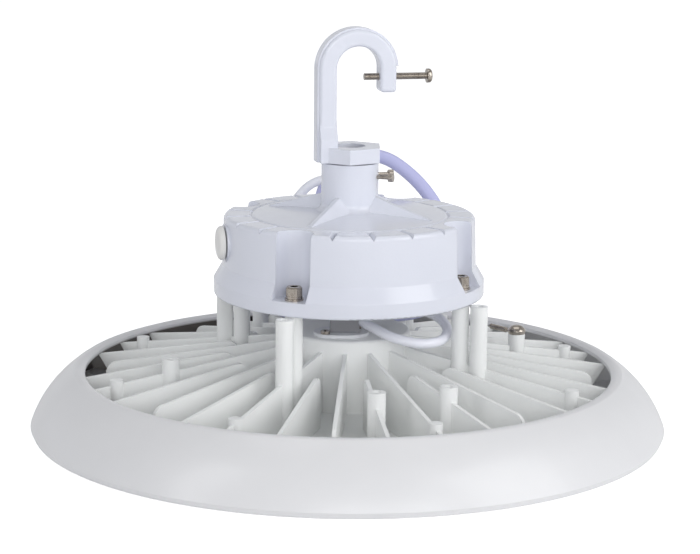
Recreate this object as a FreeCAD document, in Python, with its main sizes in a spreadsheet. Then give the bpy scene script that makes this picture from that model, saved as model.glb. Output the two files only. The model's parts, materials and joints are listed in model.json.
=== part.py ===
import FreeCAD, Part
import math
import os

import Sketcher
from FreeCAD import Placement, Rotation, Vector

# High bay light with a finned round heat sink, a bell skirt, a driver housing and a hook.
# Frame: origin at the centre of the skirt's bottom rim, +Z up the lamp's axis, -Y to the front.
# Units are millimetres and degrees. Azimuths are counted from +X, anticlockwise seen from above.

doc = FreeCAD.newDocument("high_bay_light")
sheet = doc.addObject("Spreadsheet::Sheet", "dim")
pieces = []


# Driving sizes, each of which gets a cell of its own
class Sizes:
    # Skirt: a bell-shaped ring with a rolled lip and eight lugs
    rim_radius = 175.0
    rim_edge_height = 3.0
    rim_foot_inset = 1.4
    skirt_wall = 2.0
    lip_reach = 6.0
    lip_height = 31.9
    bell_reach = 24.0
    crest_height = 32.8
    crest_slope = 15.0
    rim_slope = 62.0
    lip_bow = 5.2
    bell_bow = 58.0
    lug_count = 8
    lug_thickness = 3.5
    lug_width = 14.0
    lug_end_gap = 4.6

    # Heat sink: disc, hub, fins, posts and bosses cast as one
    disc_bottom = 10.0
    disc_thickness = 4.0
    disc_inset = 8.0
    hub_radius = 34.2
    hub_top = 54.3
    hub_round = 2.0
    wireway_radius = 3.5
    post_azimuth = -115.4
    fin_thickness = 2.2
    fin_pitch = 11.25
    fin_embed = 1.5
    fin_root_height = 47.8
    fin_cover = 1.6
    fin_lip_gap = 0.45
    trimmed_fin_inset = 2.0
    trimmed_fin_round = 7.0
    short_fin_start = 63.0
    short_fin_round = 6.0
    post_radius = 4.7
    post_outer_pitch = 77.5
    post_inner_pitch = 66.7
    post_outer_drop = 0.6
    small_post_radius = 4.7
    small_post_pitch = 101.5
    small_post_top = 44.0
    rim_boss_radius = 3.6
    rim_boss_inset = 5.5
    rim_boss_top = 34.6
    accessory_tap_radius = 1.65
    accessory_tap_depth = 12.0
    tap_mouth_radius = 2.2
    tap_mouth_depth = 0.5

    # Screws
    thread_gap = 0.05
    clearance_gap = 0.35
    cap_screw_radius = 2.5
    cap_screw_length = 20.0
    cap_head_radius = 4.25
    cap_head_height = 5.0
    cap_socket_radius = 2.3
    cap_socket_depth = 2.6
    flat_washer_radius = 5.0
    flat_washer_thickness = 1.0
    spring_washer_radius = 4.4
    spring_washer_thickness = 1.3
    spring_washer_split = 0.8
    lug_screw_radius = 2.0
    lug_screw_length = 14.0
    lug_head_radius = 4.0
    lug_head_height = 2.4
    small_screw_radius = 1.5
    small_head_radius = 2.6
    small_head_height = 1.7
    tap_extra = 0.6

    # Light engine under the disc
    board_side_gap = 4.0
    board_thickness = 1.6
    board_bore = 20.0
    board_screw_pitch = 30.0
    board_screw_count = 4
    board_screw_bite = 3.0
    led_side = 3.0
    led_height = 0.7
    led_ring_count = 3
    led_first_ring = 48.0
    led_edge_gap = 14.0
    led_angle_step = 10.0
    gasket_width = 6.0
    gasket_height = 3.4
    bezel_wall = 7.6
    lens_thickness = 2.5
    lens_side_gap = 0.4
    bezel_inset = 13.4
    bezel_width = 12.1
    bezel_lip = 1.9
    bezel_screw_inset = 3.4
    bezel_screw_count = 12
    bezel_head_recess = 2.0

    # Driver housing
    flange_bottom = 75.0
    flange_radius = 74.2
    flange_round = 1.0
    flange_edge_top = 83.2
    wall_foot_height = 91.2
    wall_radius = 69.5
    wall_draft = 0.7
    edge_height = 118.2
    edge_round = 2.6
    shoulder_radius = 52.8
    shoulder_height = 118.3
    roof_height = 121.0
    stem_fillet = 4.0
    stem_radius = 15.6
    stem_top = 147.0
    housing_wall = 4.0
    roof_thickness = 9.0
    screw_pocket_radius = 10.0
    screw_pocket_floor = 82.8
    gusset_start = 11.0
    gusset_knee = 23.0
    gusset_tip = 49.0
    gusset_start_height = 130.6
    gusset_knee_height = 126.6
    gusset_tip_height = 119.0
    gusset_start_half = 15.0
    gusset_knee_half = 9.5
    gusset_tip_half = 2.2
    gusset_ridge_half = 1.2
    pad_start = 54.8
    pad_groove_radius = 53.9
    pad_groove_depth = 0.9
    pad_pitch = 18.0
    notch_width = 3.2
    notch_depth = 2.6
    shelf_bore = 54.0
    shelf_thickness = 4.0
    cover_radius = 60.8
    cover_thickness = 2.4
    cover_gasket_thickness = 0.6
    cover_side_gap = 0.2
    cover_screw_pitch = 57.5
    cover_screw_count = 6
    cover_screw_bite = 3.0

    # Side plug on the left wall
    plug_azimuth = -165.5
    plug_height = 104.6
    plug_seat = 69.8
    plug_seat_radius = 10.2
    plug_radius = 9.4
    plug_dome = 3.0
    plug_round = 2.6
    plug_shank_radius = 6.0
    plug_shank_length = 7.0
    plug_seal_radius = 8.0
    plug_seal_thickness = 0.8
    plug_shank_gap = 0.1

    # Cable glands on the back wall
    gland_seat = 73.5
    gland_seat_radius = 9.6
    gland_height = 92.5
    gland_across = -18.0
    gland_hex_radius = 8.6
    gland_hex_length = 5.0
    gland_nut_radius = 7.8
    gland_nut_length = 9.0
    gland_nose_radius = 5.6
    gland_nose_length = 3.0
    gland_shank_radius = 5.9
    gland_shank_length = 6.0
    gland_shank_gap = 0.1
    dimming_across = -41.0
    dimming_seat = 65.5
    dimming_scale = 0.85

    # Inside the driver housing
    driver_length = 82.0
    driver_width = 46.0
    driver_height = 27.0
    driver_foot = 1.5
    driver_foot_length = 7.0
    terminal_length = 30.0
    terminal_width = 12.0
    terminal_height = 13.0
    terminal_back = 33.0
    surge_length = 26.0
    surge_width = 11.0
    surge_height = 19.0
    surge_front = 33.0

    # Hook, set at an angle about the lamp's axis
    hook_turn = 13.0
    hook_thickness = 12.4
    hook_round = 1.8
    throat_radius = 12.0
    throat_across = 3.3
    throat_height = 198.0
    bend_across = 3.1
    back_bend_radius = 21.3
    front_bend_radius = 21.1
    hook_top = 219.0
    tip_bottom = 185.0
    tip_round = 2.0
    rib_height = 1.2
    rib_width = 8.6
    rib_embed = 3.0
    rib_end_height = 199.3
    arm_flare_height = 171.0
    arm_flare_knee = 160.0
    arm_flare_half = 9.0
    collar_bottom = 147.6
    collar_height = 8.2
    collar_corner = 18.5
    collar_bore = 8.2
    nipple_radius = 10.4
    nipple_bore = 7.6
    nipple_low = 131.0
    nipple_bite = 5.6

    # Gate screw through the hook's tip
    gate_height = 193.2
    gate_radius = 2.0
    gate_tip = 7.2
    gate_length = 35.0
    gate_head_radius = 3.9
    gate_head_height = 3.0
    gate_running_gap = 0.05
    cross_slot_width = 0.9
    cross_slot_length = 4.6
    cross_slot_depth = 1.4

    # Lock screws in the stem's side
    lock_height = 139.4
    lock_azimuth = 0
    lock_spread = 36.0
    lock_radius = 1.1
    lock_reach = 24.7
    lock_head_radius = 2.3
    lock_head_height = 2.6

    # Safety wire with its two lugs
    lug_ring_radius = 4.8
    lug_tail_length = 8.0
    lug_tail_width = 2.6
    ferrule_radius = 1.5
    ferrule_length = 12.0
    ferrule_start = 8.6
    wire_radius = 0.75
    wire_stub = 9.0
    dome_radius = 5.1
    dome_height = 3.8
    dome_screw_length = 9.0
    near_lug_turn = 131.0

    # Entry plate on the hub with the output lead's seal
    entry_across = -4.0
    entry_forward = -16.0
    entry_length = 30.0
    entry_width = 22.0
    entry_thickness = 1.8
    entry_screw_across = 8.5
    entry_screw_forward = 7.0
    entry_screw_bite = 5.0
    seal_across = -2.0
    seal_length = 16.0
    seal_width = 8.0
    seal_height = 9.0
    outlet_across = 14.0
    outlet_forward = 0.0
    outlet_size = 14.0
    outlet_height = 14.0
    outlet_lead_height = 66.0
    seal_lead_height = 62.2

    # Cables and their coils
    input_radius = 4.1
    dimming_radius = 2.75
    output_radius = 2.7
    cable_gap = 0.1
    coil_across = 0
    coil_back = 101.5
    coil_bottom = 38.9
    coil_tilt = -8.5
    coil_pitch_radius = 35.5
    coil_turns = 3
    inner_coil_pitch_radius = 25.6
    inner_coil_turns = 3
    tie_thickness = 1.0
    tie_width = 3.6
    tie_gap = 0.2
    tie_azimuth = 48.0
    lead_radius = 1.1
    lead_length = 26.0
    lead_fall = 3.1
    input_lead_azimuth = 25.0
    dimming_lead_azimuth = -100.0


def fill_sheet():
    named = [(alias, number) for alias, number in vars(Sizes).items() if not alias.startswith("_")]
    for row, (alias, number) in enumerate(named, 1):
        sheet.set("A%d" % row, alias)
        sheet.set("B%d" % row, str(number))
        sheet.setAlias("B%d" % row, alias)
    doc.recompute()


fill_sheet()


# A number worked out from the sheet
def value(expression):
    return float(sheet.evalExpression(expression.replace("dim.", "")))


# Radii that follow from the skirt's rim inwards, and the height of the housing's ceiling
CREST = "(dim.rim_radius - dim.bell_reach)"
LIP = "(" + CREST + " - dim.lip_reach)"
LUG_END = "(dim.rim_radius - dim.lug_end_gap)"
FIN_END = "(" + LIP + " + dim.fin_cover)"
DISC = "(" + LIP + " - dim.disc_inset)"
BOSS_PITCH = "(" + DISC + " - dim.rim_boss_inset)"
TRIMMED_END = "(" + DISC + " - dim.trimmed_fin_inset)"
BEZEL = "(" + DISC + " - dim.bezel_inset)"
BEZEL_PITCH = "(" + BEZEL + " - dim.bezel_screw_inset)"
BEZEL_BORE = "(" + BEZEL + " - dim.bezel_width)"
LENS = "(" + BEZEL + " - dim.bezel_wall)"
GASKET_BORE = "(" + LENS + " - dim.gasket_width)"
BOARD = "(" + GASKET_BORE + " - dim.board_side_gap)"
RING_STEP = "((" + BOARD + " - dim.led_edge_gap - dim.led_first_ring) / (dim.led_ring_count - 1))"
CEILING = "(dim.roof_height - dim.roof_thickness)"
# Height of the fins' outer tips, just under the skirt's lip
FIN_TIP = "(dim.lip_height - dim.skirt_wall - dim.fin_lip_gap)"
# The two screws of the entry plate stand diagonally beside its seal
ENTRY_SCREW_SPOTS = [("dim.entry_across %s dim.entry_screw_across" % side,
                      "dim.entry_forward %s dim.entry_screw_forward" % side) for side in "-+"]


# A point given by its distance from the lamp's axis and its azimuth
def polar(pitch, azimuth):
    return ("(%s) * cos((%s) * 1 deg)" % (pitch, azimuth), "(%s) * sin((%s) * 1 deg)" % (pitch, azimuth))


def new_body(label):
    body = doc.addObject("PartDesign::Body", label)
    body.Label = label
    return body


def origin_feature(body, role):
    return [feature for feature in body.Origin.OriginFeatures if feature.Role == role][0]


# A sketch on one of the body's own planes; upright planes can be turned about the vertical
def new_sketch(body, role, name, offset=("0", "0", "0"), turn=0.0):
    sketch = body.newObject("Sketcher::SketchObject", name)
    sketch.AttachmentSupport = [(origin_feature(body, role), "")]
    sketch.MapMode = "FlatFace"
    spin_axis = Vector(0, 0, 1) if role == "XY_Plane" else Vector(0, 1, 0)
    sketch.AttachmentOffset = Placement(Vector(), Rotation(spin_axis, turn))
    for letter, expression in zip("xyz", offset):
        sketch.setExpression("AttachmentOffset.Base." + letter, expression)
    return sketch


def bind(sketch, constraint, expression):
    index = sketch.addConstraint(constraint)
    sketch.setExpression("Constraints[%d]" % index, expression)


# A closed outline; bows gives the radius of each side that swells to the right, "-" to the left
def outline(sketch, corners, bows=None):
    bows = bows or {}
    spots = [Vector(value(across), value(up), 0) for across, up in corners]
    first = sketch.GeometryCount
    count = len(spots)
    for side in range(count):
        start = spots[side]
        end = spots[(side + 1) % count]
        if side in bows:
            radius = abs(value(bows[side].lstrip("-")))
            chord = end - start
            half = chord.Length / 2
            depth = math.sqrt(max(radius ** 2 - half ** 2, 0.0))
            left = Vector(-chord.y, chord.x, 0).normalize()
            swells_left = bows[side].startswith("-")
            centre = start + chord * 0.5 + left * (-depth if swells_left else depth)
            first_end, last_end = (end, start) if swells_left else (start, end)
            low = math.atan2(first_end.y - centre.y, first_end.x - centre.x)
            high = math.atan2(last_end.y - centre.y, last_end.x - centre.x)
            high = high if high > low else high + 2 * math.pi
            full = Part.Circle(centre, Vector(0, 0, 1), radius)
            sketch.addGeometry(Part.ArcOfCircle(full, low, high), False)
        else:
            sketch.addGeometry(Part.LineSegment(start, end), False)
    ends = []
    for side in range(count):
        shape = sketch.Geometry[first + side]
        forward = shape.StartPoint.distanceToPoint(spots[side]) < 1e-6
        ends.append((1, 2) if forward else (2, 1))
    for side in range(count):
        follower = (side + 1) % count
        sketch.addConstraint(
            Sketcher.Constraint("Coincident", first + side, ends[side][1], first + follower, ends[follower][0]))
    for side, (across, up) in enumerate(corners):
        bind(sketch, Sketcher.Constraint("DistanceX", -1, 1, first + side, ends[side][0], spots[side].x), across)
        bind(sketch, Sketcher.Constraint("DistanceY", -1, 1, first + side, ends[side][0], spots[side].y), up)
    for side, bow in bows.items():
        radius = abs(value(bow.lstrip("-")))
        bind(sketch, Sketcher.Constraint("Radius", first + side, radius), bow.lstrip("-"))


def circle(sketch, across, up, radius):
    centre = Vector(value(across), value(up), 0)
    index = sketch.addGeometry(Part.Circle(centre, Vector(0, 0, 1), value(radius)), False)
    bind(sketch, Sketcher.Constraint("DistanceX", -1, 1, index, 3, centre.x), across)
    bind(sketch, Sketcher.Constraint("DistanceY", -1, 1, index, 3, centre.y), up)
    bind(sketch, Sketcher.Constraint("Radius", index, value(radius)), radius)


def rectangle(sketch, low_x, low_y, high_x, high_y):
    outline(sketch, [(low_x, low_y), (high_x, low_y), (high_x, high_y), (low_x, high_y)])


def revolve(body, sketch, name, kind="Revolution"):
    feature = body.newObject("PartDesign::" + kind, name)
    feature.Profile = sketch
    feature.ReferenceAxis = (sketch, ["V_Axis"])
    feature.Angle = 360
    body.Tip = feature
    return feature


def extrude(body, sketch, name, length, kind="Pad", midplane=False, backwards=False):
    feature = body.newObject("PartDesign::" + kind, name)
    feature.Profile = sketch
    feature.setExpression("Length", length)
    feature.Midplane = midplane
    feature.Reversed = backwards
    body.Tip = feature
    return feature


# Copies of features turned evenly about the lamp's axis
def around(body, features, name, count, angle=360.0):
    pattern = body.newObject("PartDesign::PolarPattern", name)
    pattern.Originals = features
    pattern.Axis = (origin_feature(body, "Z_Axis"), [""])
    pattern.Angle = angle
    pattern.setExpression("Occurrences", str(count))
    body.Tip = pattern
    return pattern


def keep(piece):
    pieces.append(piece)
    return piece


# A turned piece standing upright at a pitch radius, copied around the lamp's axis
def turned_group(label, corners, pitch, level, azimuth, count, bows=None, more=None):
    body = new_body(label)
    sketch = new_sketch(body, "XZ_Plane", label + "_profile", (pitch, level, "0"))
    outline(sketch, corners, bows)
    features = [revolve(body, sketch, label + "_turning")]
    if more:
        features += more(body)
    around(body, features, label + "_ring", count)
    body.Placement = Placement(Vector(), Rotation(Vector(0, 0, 1), value(azimuth)))
    return keep(body)


def make_skirt():
    body = new_body("skirt")
    inner_crest_x = CREST + " - dim.skirt_wall * sin(dim.crest_slope * 1 deg)"
    inner_crest_y = "dim.crest_height - dim.skirt_wall * cos(dim.crest_slope * 1 deg)"
    inner_rim_x = "dim.rim_radius - dim.skirt_wall * sin(dim.rim_slope * 1 deg)"
    inner_rim_y = "dim.rim_edge_height - dim.skirt_wall * cos(dim.rim_slope * 1 deg)"
    corners = [
        (LIP, "dim.lip_height - dim.skirt_wall"),
        (LIP, "dim.lip_height"),
        (CREST, "dim.crest_height"),
        ("dim.rim_radius", "dim.rim_edge_height"),
        ("dim.rim_radius - dim.rim_foot_inset", "0"),
        ("dim.rim_radius - dim.rim_foot_inset - dim.skirt_wall", "0"),
        (inner_rim_x, inner_rim_y),
        (inner_crest_x, inner_crest_y),
    ]
    bows = {1: "-dim.lip_bow", 2: "-dim.bell_bow", 6: "dim.bell_bow - dim.skirt_wall"}
    sketch = new_sketch(body, "XZ_Plane", "bell_profile")
    outline(sketch, corners, bows)
    revolve(body, sketch, "bell")
    level = "dim.disc_bottom - dim.lug_thickness"
    plan = new_sketch(body, "XY_Plane", "lug_plan", ("0", "0", level), value("post_azimuth"))
    half = "dim.lug_width / 2"
    outline(plan, [(BOSS_PITCH, "-" + half), (LUG_END, "-" + half),
                   (LUG_END, half), (BOSS_PITCH, half),
                   (BOSS_PITCH + " - " + half, "0")], {3: half, 4: half})
    lug = extrude(body, plan, "lug", "dim.lug_thickness")
    lugs = around(body, [lug], "lugs", "dim.lug_count")
    drill = new_sketch(body, "XY_Plane", "lug_hole_plan", ("0", "0", "dim.disc_bottom"), value("post_azimuth"))
    circle(drill, BOSS_PITCH, "0", "dim.lug_screw_radius + dim.clearance_gap")
    hole = extrude(body, drill, "lug_hole", "dim.lug_thickness", "Pocket")
    around(body, [hole], "lug_holes", "dim.lug_count")
    return keep(body)


# Circles on a flat sketch at the same pitch and several azimuths
def circles(sketch, pitch, azimuths, radius):
    for azimuth in azimuths:
        circle(sketch, *polar(pitch, azimuth), radius)


def azimuths_from(start, step, count):
    return ["%s + (%s) * %d" % (start, step, index) for index in range(count)]


# Upright round posts standing on the disc, or drill shapes of the same kind
def round_posts(body, name, spots, radius, low, high):
    plan = new_sketch(body, "XY_Plane", name + "_plan", ("0", "0", low))
    for across, along in spots:
        circle(plan, across, along, radius)
    return extrude(body, plan, name, "(%s) - (%s)" % (high, low))


def cut(label, base, tool):
    result = doc.addObject("Part::Cut", label)
    result.Base = base
    result.Tool = tool
    result.Refine = True
    result.Label = label
    return keep(result)


def make_heat_sink():
    body = new_body("heat_sink_casting")
    disc_top = "dim.disc_bottom + dim.disc_thickness"
    web = new_sketch(body, "XZ_Plane", "web_profile")
    outline(web, [("0", "dim.disc_bottom"), (DISC, "dim.disc_bottom"),
                  (DISC, disc_top), ("dim.hub_radius", disc_top),
                  ("dim.hub_radius", "dim.hub_top - dim.hub_round"),
                  ("dim.hub_radius - dim.hub_round", "dim.hub_top"),
                  ("0", "dim.hub_top")], {4: "dim.hub_round"})
    revolve(body, web, "web")

    low = disc_top + " - dim.fin_embed"
    quarter = azimuths_from("dim.post_azimuth", "90", 4)
    eighth = azimuths_from("dim.post_azimuth", "45", 8)
    outer_spots = [polar("dim.post_outer_pitch", azimuth) for azimuth in quarter]
    inner_spots = [polar("dim.post_inner_pitch", azimuth) for azimuth in quarter]
    small_spots = [polar("dim.small_post_pitch", "dim.post_azimuth + dim.fin_pitch * %d" % step)
                   for step in (3, 5, 12, 19, 21, 28)]
    boss_spots = [polar(BOSS_PITCH, azimuth) for azimuth in eighth]
    outer_top = "dim.flange_bottom - dim.post_outer_drop"
    round_posts(body, "outer_posts", outer_spots, "dim.post_radius", low, outer_top)
    round_posts(body, "inner_posts", inner_spots, "dim.post_radius", low, "dim.flange_bottom")
    round_posts(body, "small_posts", small_spots, "dim.small_post_radius", low, "dim.small_post_top")
    round_posts(body, "rim_bosses", boss_spots, "dim.rim_boss_radius", low, "dim.rim_boss_top")

    inner = "dim.hub_radius - dim.fin_embed"
    fall = "(dim.fin_root_height - %s) / (%s - dim.hub_radius)" % (FIN_TIP, FIN_END)
    height_at = "dim.fin_root_height - (%s - dim.hub_radius) * " + fall
    pointed_end = [(DISC, low), (DISC, disc_top), (FIN_END, FIN_TIP)]
    carrier = new_sketch(body, "XZ_Plane", "carrier_fin_profile", turn=value("post_azimuth"))
    outline(carrier, [(inner, low)] + pointed_end + [(inner, "dim.fin_root_height")])
    carrier_fin = extrude(body, carrier, "carrier_fin", "dim.fin_thickness", midplane=True)
    around(body, [carrier_fin], "carrier_fins", 8)

    trimmed = new_sketch(body, "XZ_Plane", "trimmed_fin_profile", turn=value("post_azimuth + 2 * fin_pitch"))
    outline(trimmed, [(inner, low), (TRIMMED_END, low),
                      (TRIMMED_END, height_at % TRIMMED_END + " - dim.trimmed_fin_round"),
                      (TRIMMED_END + " - dim.trimmed_fin_round",
                       height_at % TRIMMED_END + " + dim.fin_thickness / 2"),
                      (inner, "dim.fin_root_height")], {2: "dim.trimmed_fin_round"})
    trimmed_fin = extrude(body, trimmed, "trimmed_fin", "dim.fin_thickness", midplane=True)
    around(body, [trimmed_fin], "trimmed_fins", 8)

    short = new_sketch(body, "XZ_Plane", "short_fin_profile", turn=value("post_azimuth + fin_pitch"))
    short_top = height_at % "(dim.short_fin_start + dim.short_fin_round)"
    outline(short, [("dim.short_fin_start", low)] + pointed_end +
            [("dim.short_fin_start + dim.short_fin_round", short_top),
             ("dim.short_fin_start", short_top + " - dim.short_fin_round")], {4: "dim.short_fin_round"})
    short_fin = extrude(body, short, "short_fin", "dim.fin_thickness", midplane=True)
    around(body, [short_fin], "short_fins", 16)

    drills = new_body("heat_sink_drills")
    mouth_low = " - dim.tap_mouth_depth"
    for name, spots, top in (("accessory", outer_spots, outer_top), ("small_post", small_spots, "dim.small_post_top")):
        above = top + " + dim.tap_extra"
        round_posts(drills, name + "_tap", spots, "dim.accessory_tap_radius", top + " - dim.accessory_tap_depth", above)
        round_posts(drills, name + "_mouth", spots, "dim.tap_mouth_radius", top + mouth_low, above)
    round_posts(drills, "cap_screw_tap", inner_spots, "dim.cap_screw_radius + dim.thread_gap",
                "dim.screw_pocket_floor - dim.cap_screw_length + dim.spring_washer_thickness",
                "dim.flange_bottom + dim.tap_extra")
    below = "dim.disc_bottom - dim.tap_extra"
    round_posts(drills, "lug_screw_tap", boss_spots, "dim.lug_screw_radius + dim.thread_gap", below,
                "dim.disc_bottom + dim.lug_screw_length - dim.lug_thickness + dim.tap_extra")
    board_spots = [polar("dim.board_screw_pitch", azimuth) for azimuth in azimuths_from("45", "90", 4)]
    round_posts(drills, "board_tap", board_spots, "dim.small_screw_radius + dim.thread_gap", below,
                "dim.disc_bottom + dim.board_screw_bite + dim.tap_extra")
    bezel_start = "dim.post_azimuth + dim.fin_pitch"
    bezel_spots = [polar(BEZEL_PITCH, azimuth) for azimuth in azimuths_from(bezel_start, "30", 12)]
    round_posts(drills, "bezel_tap", bezel_spots, "dim.small_screw_radius + dim.thread_gap", below,
                "dim.disc_bottom + dim.board_screw_bite + dim.tap_extra")
    round_posts(drills, "entry_tap", ENTRY_SCREW_SPOTS, "dim.small_screw_radius + dim.thread_gap",
                "dim.hub_top - dim.entry_screw_bite - dim.tap_extra", "dim.hub_top + dim.tap_extra")
    round_posts(drills, "wireway", [("dim.entry_across", "dim.entry_forward")], "dim.wireway_radius",
                below, "dim.hub_top + dim.tap_extra")
    return cut("heat_sink", body, drills)


# Outline of a screw with a domed head above its seat, or below it when flipped
def screw_outline(head_radius, head_height, shaft_radius, length, flipped=False):
    sign = "-" if flipped else ""
    other = "" if flipped else "-"
    corners = [("0", "%s(%s)" % (sign, head_height)), ("0", "%s(%s)" % (other, length)),
               (shaft_radius, "%s(%s)" % (other, length)), (shaft_radius, "0"), (head_radius, "0"),
               (head_radius, "%s(%s) * 0.4" % (sign, head_height)),
               ("(%s) * 0.66" % head_radius, "%s(%s)" % (sign, head_height))]
    return corners, {5: "%s(%s) * 0.7" % (sign, head_height)}


def ring_outline(bore, radius, low, high):
    return [(bore, low), (radius, low), (radius, high), (bore, high)]


# A cross-shaped recess cut into a head that faces along the sketch's normal
def cross_slot(body, name, level, centre=("0", "0")):
    features = []
    for turn in (0, 90):
        plan = new_sketch(body, "XY_Plane", "%s_plan_%d" % (name, turn), (centre[0], centre[1], level), turn)
        rectangle(plan, "-dim.cross_slot_length / 2", "-dim.cross_slot_width / 2",
                  "dim.cross_slot_length / 2", "dim.cross_slot_width / 2")
        features.append(extrude(body, plan, "%s_%d" % (name, turn), "dim.cross_slot_depth", "Pocket"))
    return features


def make_skirt_screws():
    corners, bows = screw_outline("dim.lug_head_radius", "dim.lug_head_height", "dim.lug_screw_radius",
                                  "dim.lug_screw_length", True)
    turned_group("skirt_screws", corners, BOSS_PITCH, "dim.disc_bottom - dim.lug_thickness",
                 "post_azimuth", "dim.lug_count", bows)


def make_light_engine():
    board_low = "dim.disc_bottom - dim.board_thickness"
    board = new_body("led_board")
    section = new_sketch(board, "XZ_Plane", "board_profile", ("0", board_low, "0"))
    outline(section, ring_outline("dim.board_bore", BOARD, "0", "dim.board_thickness"))
    revolve(board, section, "board_disc")
    holes = new_sketch(board, "XY_Plane", "board_hole_plan", ("0", "0", "dim.disc_bottom"))
    circles(holes, "dim.board_screw_pitch", azimuths_from("45", "90", 4), "dim.small_screw_radius + dim.clearance_gap")
    extrude(board, holes, "board_holes", "dim.board_thickness", "Pocket")
    keep(board)
    corners, bows = screw_outline("dim.small_head_radius", "dim.small_head_height", "dim.small_screw_radius",
                                  "dim.board_screw_bite + dim.board_thickness", True)
    turned_group("board_screws", corners, "dim.board_screw_pitch", board_low, "45", "dim.board_screw_count", bows)

    leds = new_body("leds")
    plan = new_sketch(leds, "XY_Plane", "led_plan", ("0", "0", board_low + " - dim.led_height"))
    for ring in range(int(value("led_ring_count"))):
        centre = "dim.led_first_ring + " + RING_STEP + " * %d" % ring
        rectangle(plan, centre + " - dim.led_side / 2", "-dim.led_side / 2",
                  centre + " + dim.led_side / 2", "dim.led_side / 2")
    row = extrude(leds, plan, "led_row", "dim.led_height")
    around(leds, [row], "led_rings", "360 / dim.led_angle_step")
    keep(leds)

    gasket_low = "dim.disc_bottom - dim.gasket_height"
    lens_low = gasket_low + " - dim.lens_thickness"
    bezel_low = lens_low + " - dim.bezel_lip"
    gasket = new_body("lens_gasket")
    section = new_sketch(gasket, "XZ_Plane", "gasket_profile")
    outline(section, ring_outline(GASKET_BORE, LENS, gasket_low, "dim.disc_bottom"))
    revolve(gasket, section, "gasket_ring")
    keep(gasket)
    lens = new_body("lens_cover")
    section = new_sketch(lens, "XZ_Plane", "lens_profile")
    outline(section, ring_outline("0", LENS, lens_low, gasket_low))
    revolve(lens, section, "lens_disc")
    keep(lens)

    bezel = new_body("bezel_ring")
    section = new_sketch(bezel, "XZ_Plane", "bezel_profile")
    wall = LENS + " + dim.lens_side_gap"
    outline(section, [(BEZEL_BORE, bezel_low), (BEZEL, bezel_low),
                      (BEZEL, "dim.disc_bottom"), (wall, "dim.disc_bottom"),
                      (wall, lens_low), (BEZEL_BORE, lens_low)])
    revolve(bezel, section, "bezel_section")
    spots = azimuths_from("dim.post_azimuth + dim.fin_pitch", "30", 12)
    through = new_sketch(bezel, "XY_Plane", "bezel_hole_plan", ("0", "0", "dim.disc_bottom"))
    circles(through, BEZEL_PITCH, spots, "dim.small_screw_radius + dim.clearance_gap")
    extrude(bezel, through, "bezel_holes", "dim.disc_bottom", "Pocket")
    recess = new_sketch(bezel, "XY_Plane", "bezel_recess_plan", ("0", "0", bezel_low + " + dim.bezel_head_recess"))
    circles(recess, BEZEL_PITCH, spots, "dim.small_head_radius + dim.lens_side_gap / 2")
    extrude(bezel, recess, "bezel_recesses", "dim.bezel_head_recess", "Pocket")
    keep(bezel)
    seat = bezel_low + " + dim.bezel_head_recess"
    corners, bows = screw_outline("dim.small_head_radius", "dim.small_head_height", "dim.small_screw_radius",
                                  "dim.disc_bottom + dim.board_screw_bite - (%s)" % seat, True)
    turned_group("bezel_screws", corners, BEZEL_PITCH, seat, "post_azimuth + fin_pitch",
                 "dim.bezel_screw_count", bows)


# A flat seat standing out from the wall, facing along an azimuth
def wall_seat(body, name, across, along, up, azimuth, radius, length, kind="Pad"):
    facing = "(%s) + 90" % azimuth
    plan = new_sketch(body, "XZ_Plane", name + "_plan", (across, up, "-(%s)" % along), value(facing))
    circle(plan, "0", "0", radius)
    return extrude(body, plan, name, length, kind, backwards=kind == "Pad")


# Plan of a pocket open to the outside, with a round inner end about a post
def pocket_plan(body, name, half, level):
    plan = new_sketch(body, "XY_Plane", name + "_plan", ("0", "0", level), value("post_azimuth"))
    outer = "dim.flange_radius + dim.screw_pocket_radius"
    outline(plan, [("dim.post_inner_pitch", "-(%s)" % half), (outer, "-(%s)" % half), (outer, half),
                   ("dim.post_inner_pitch", half), ("dim.post_inner_pitch - (%s)" % half, "0")], {3: half, 4: half})
    return plan


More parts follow.
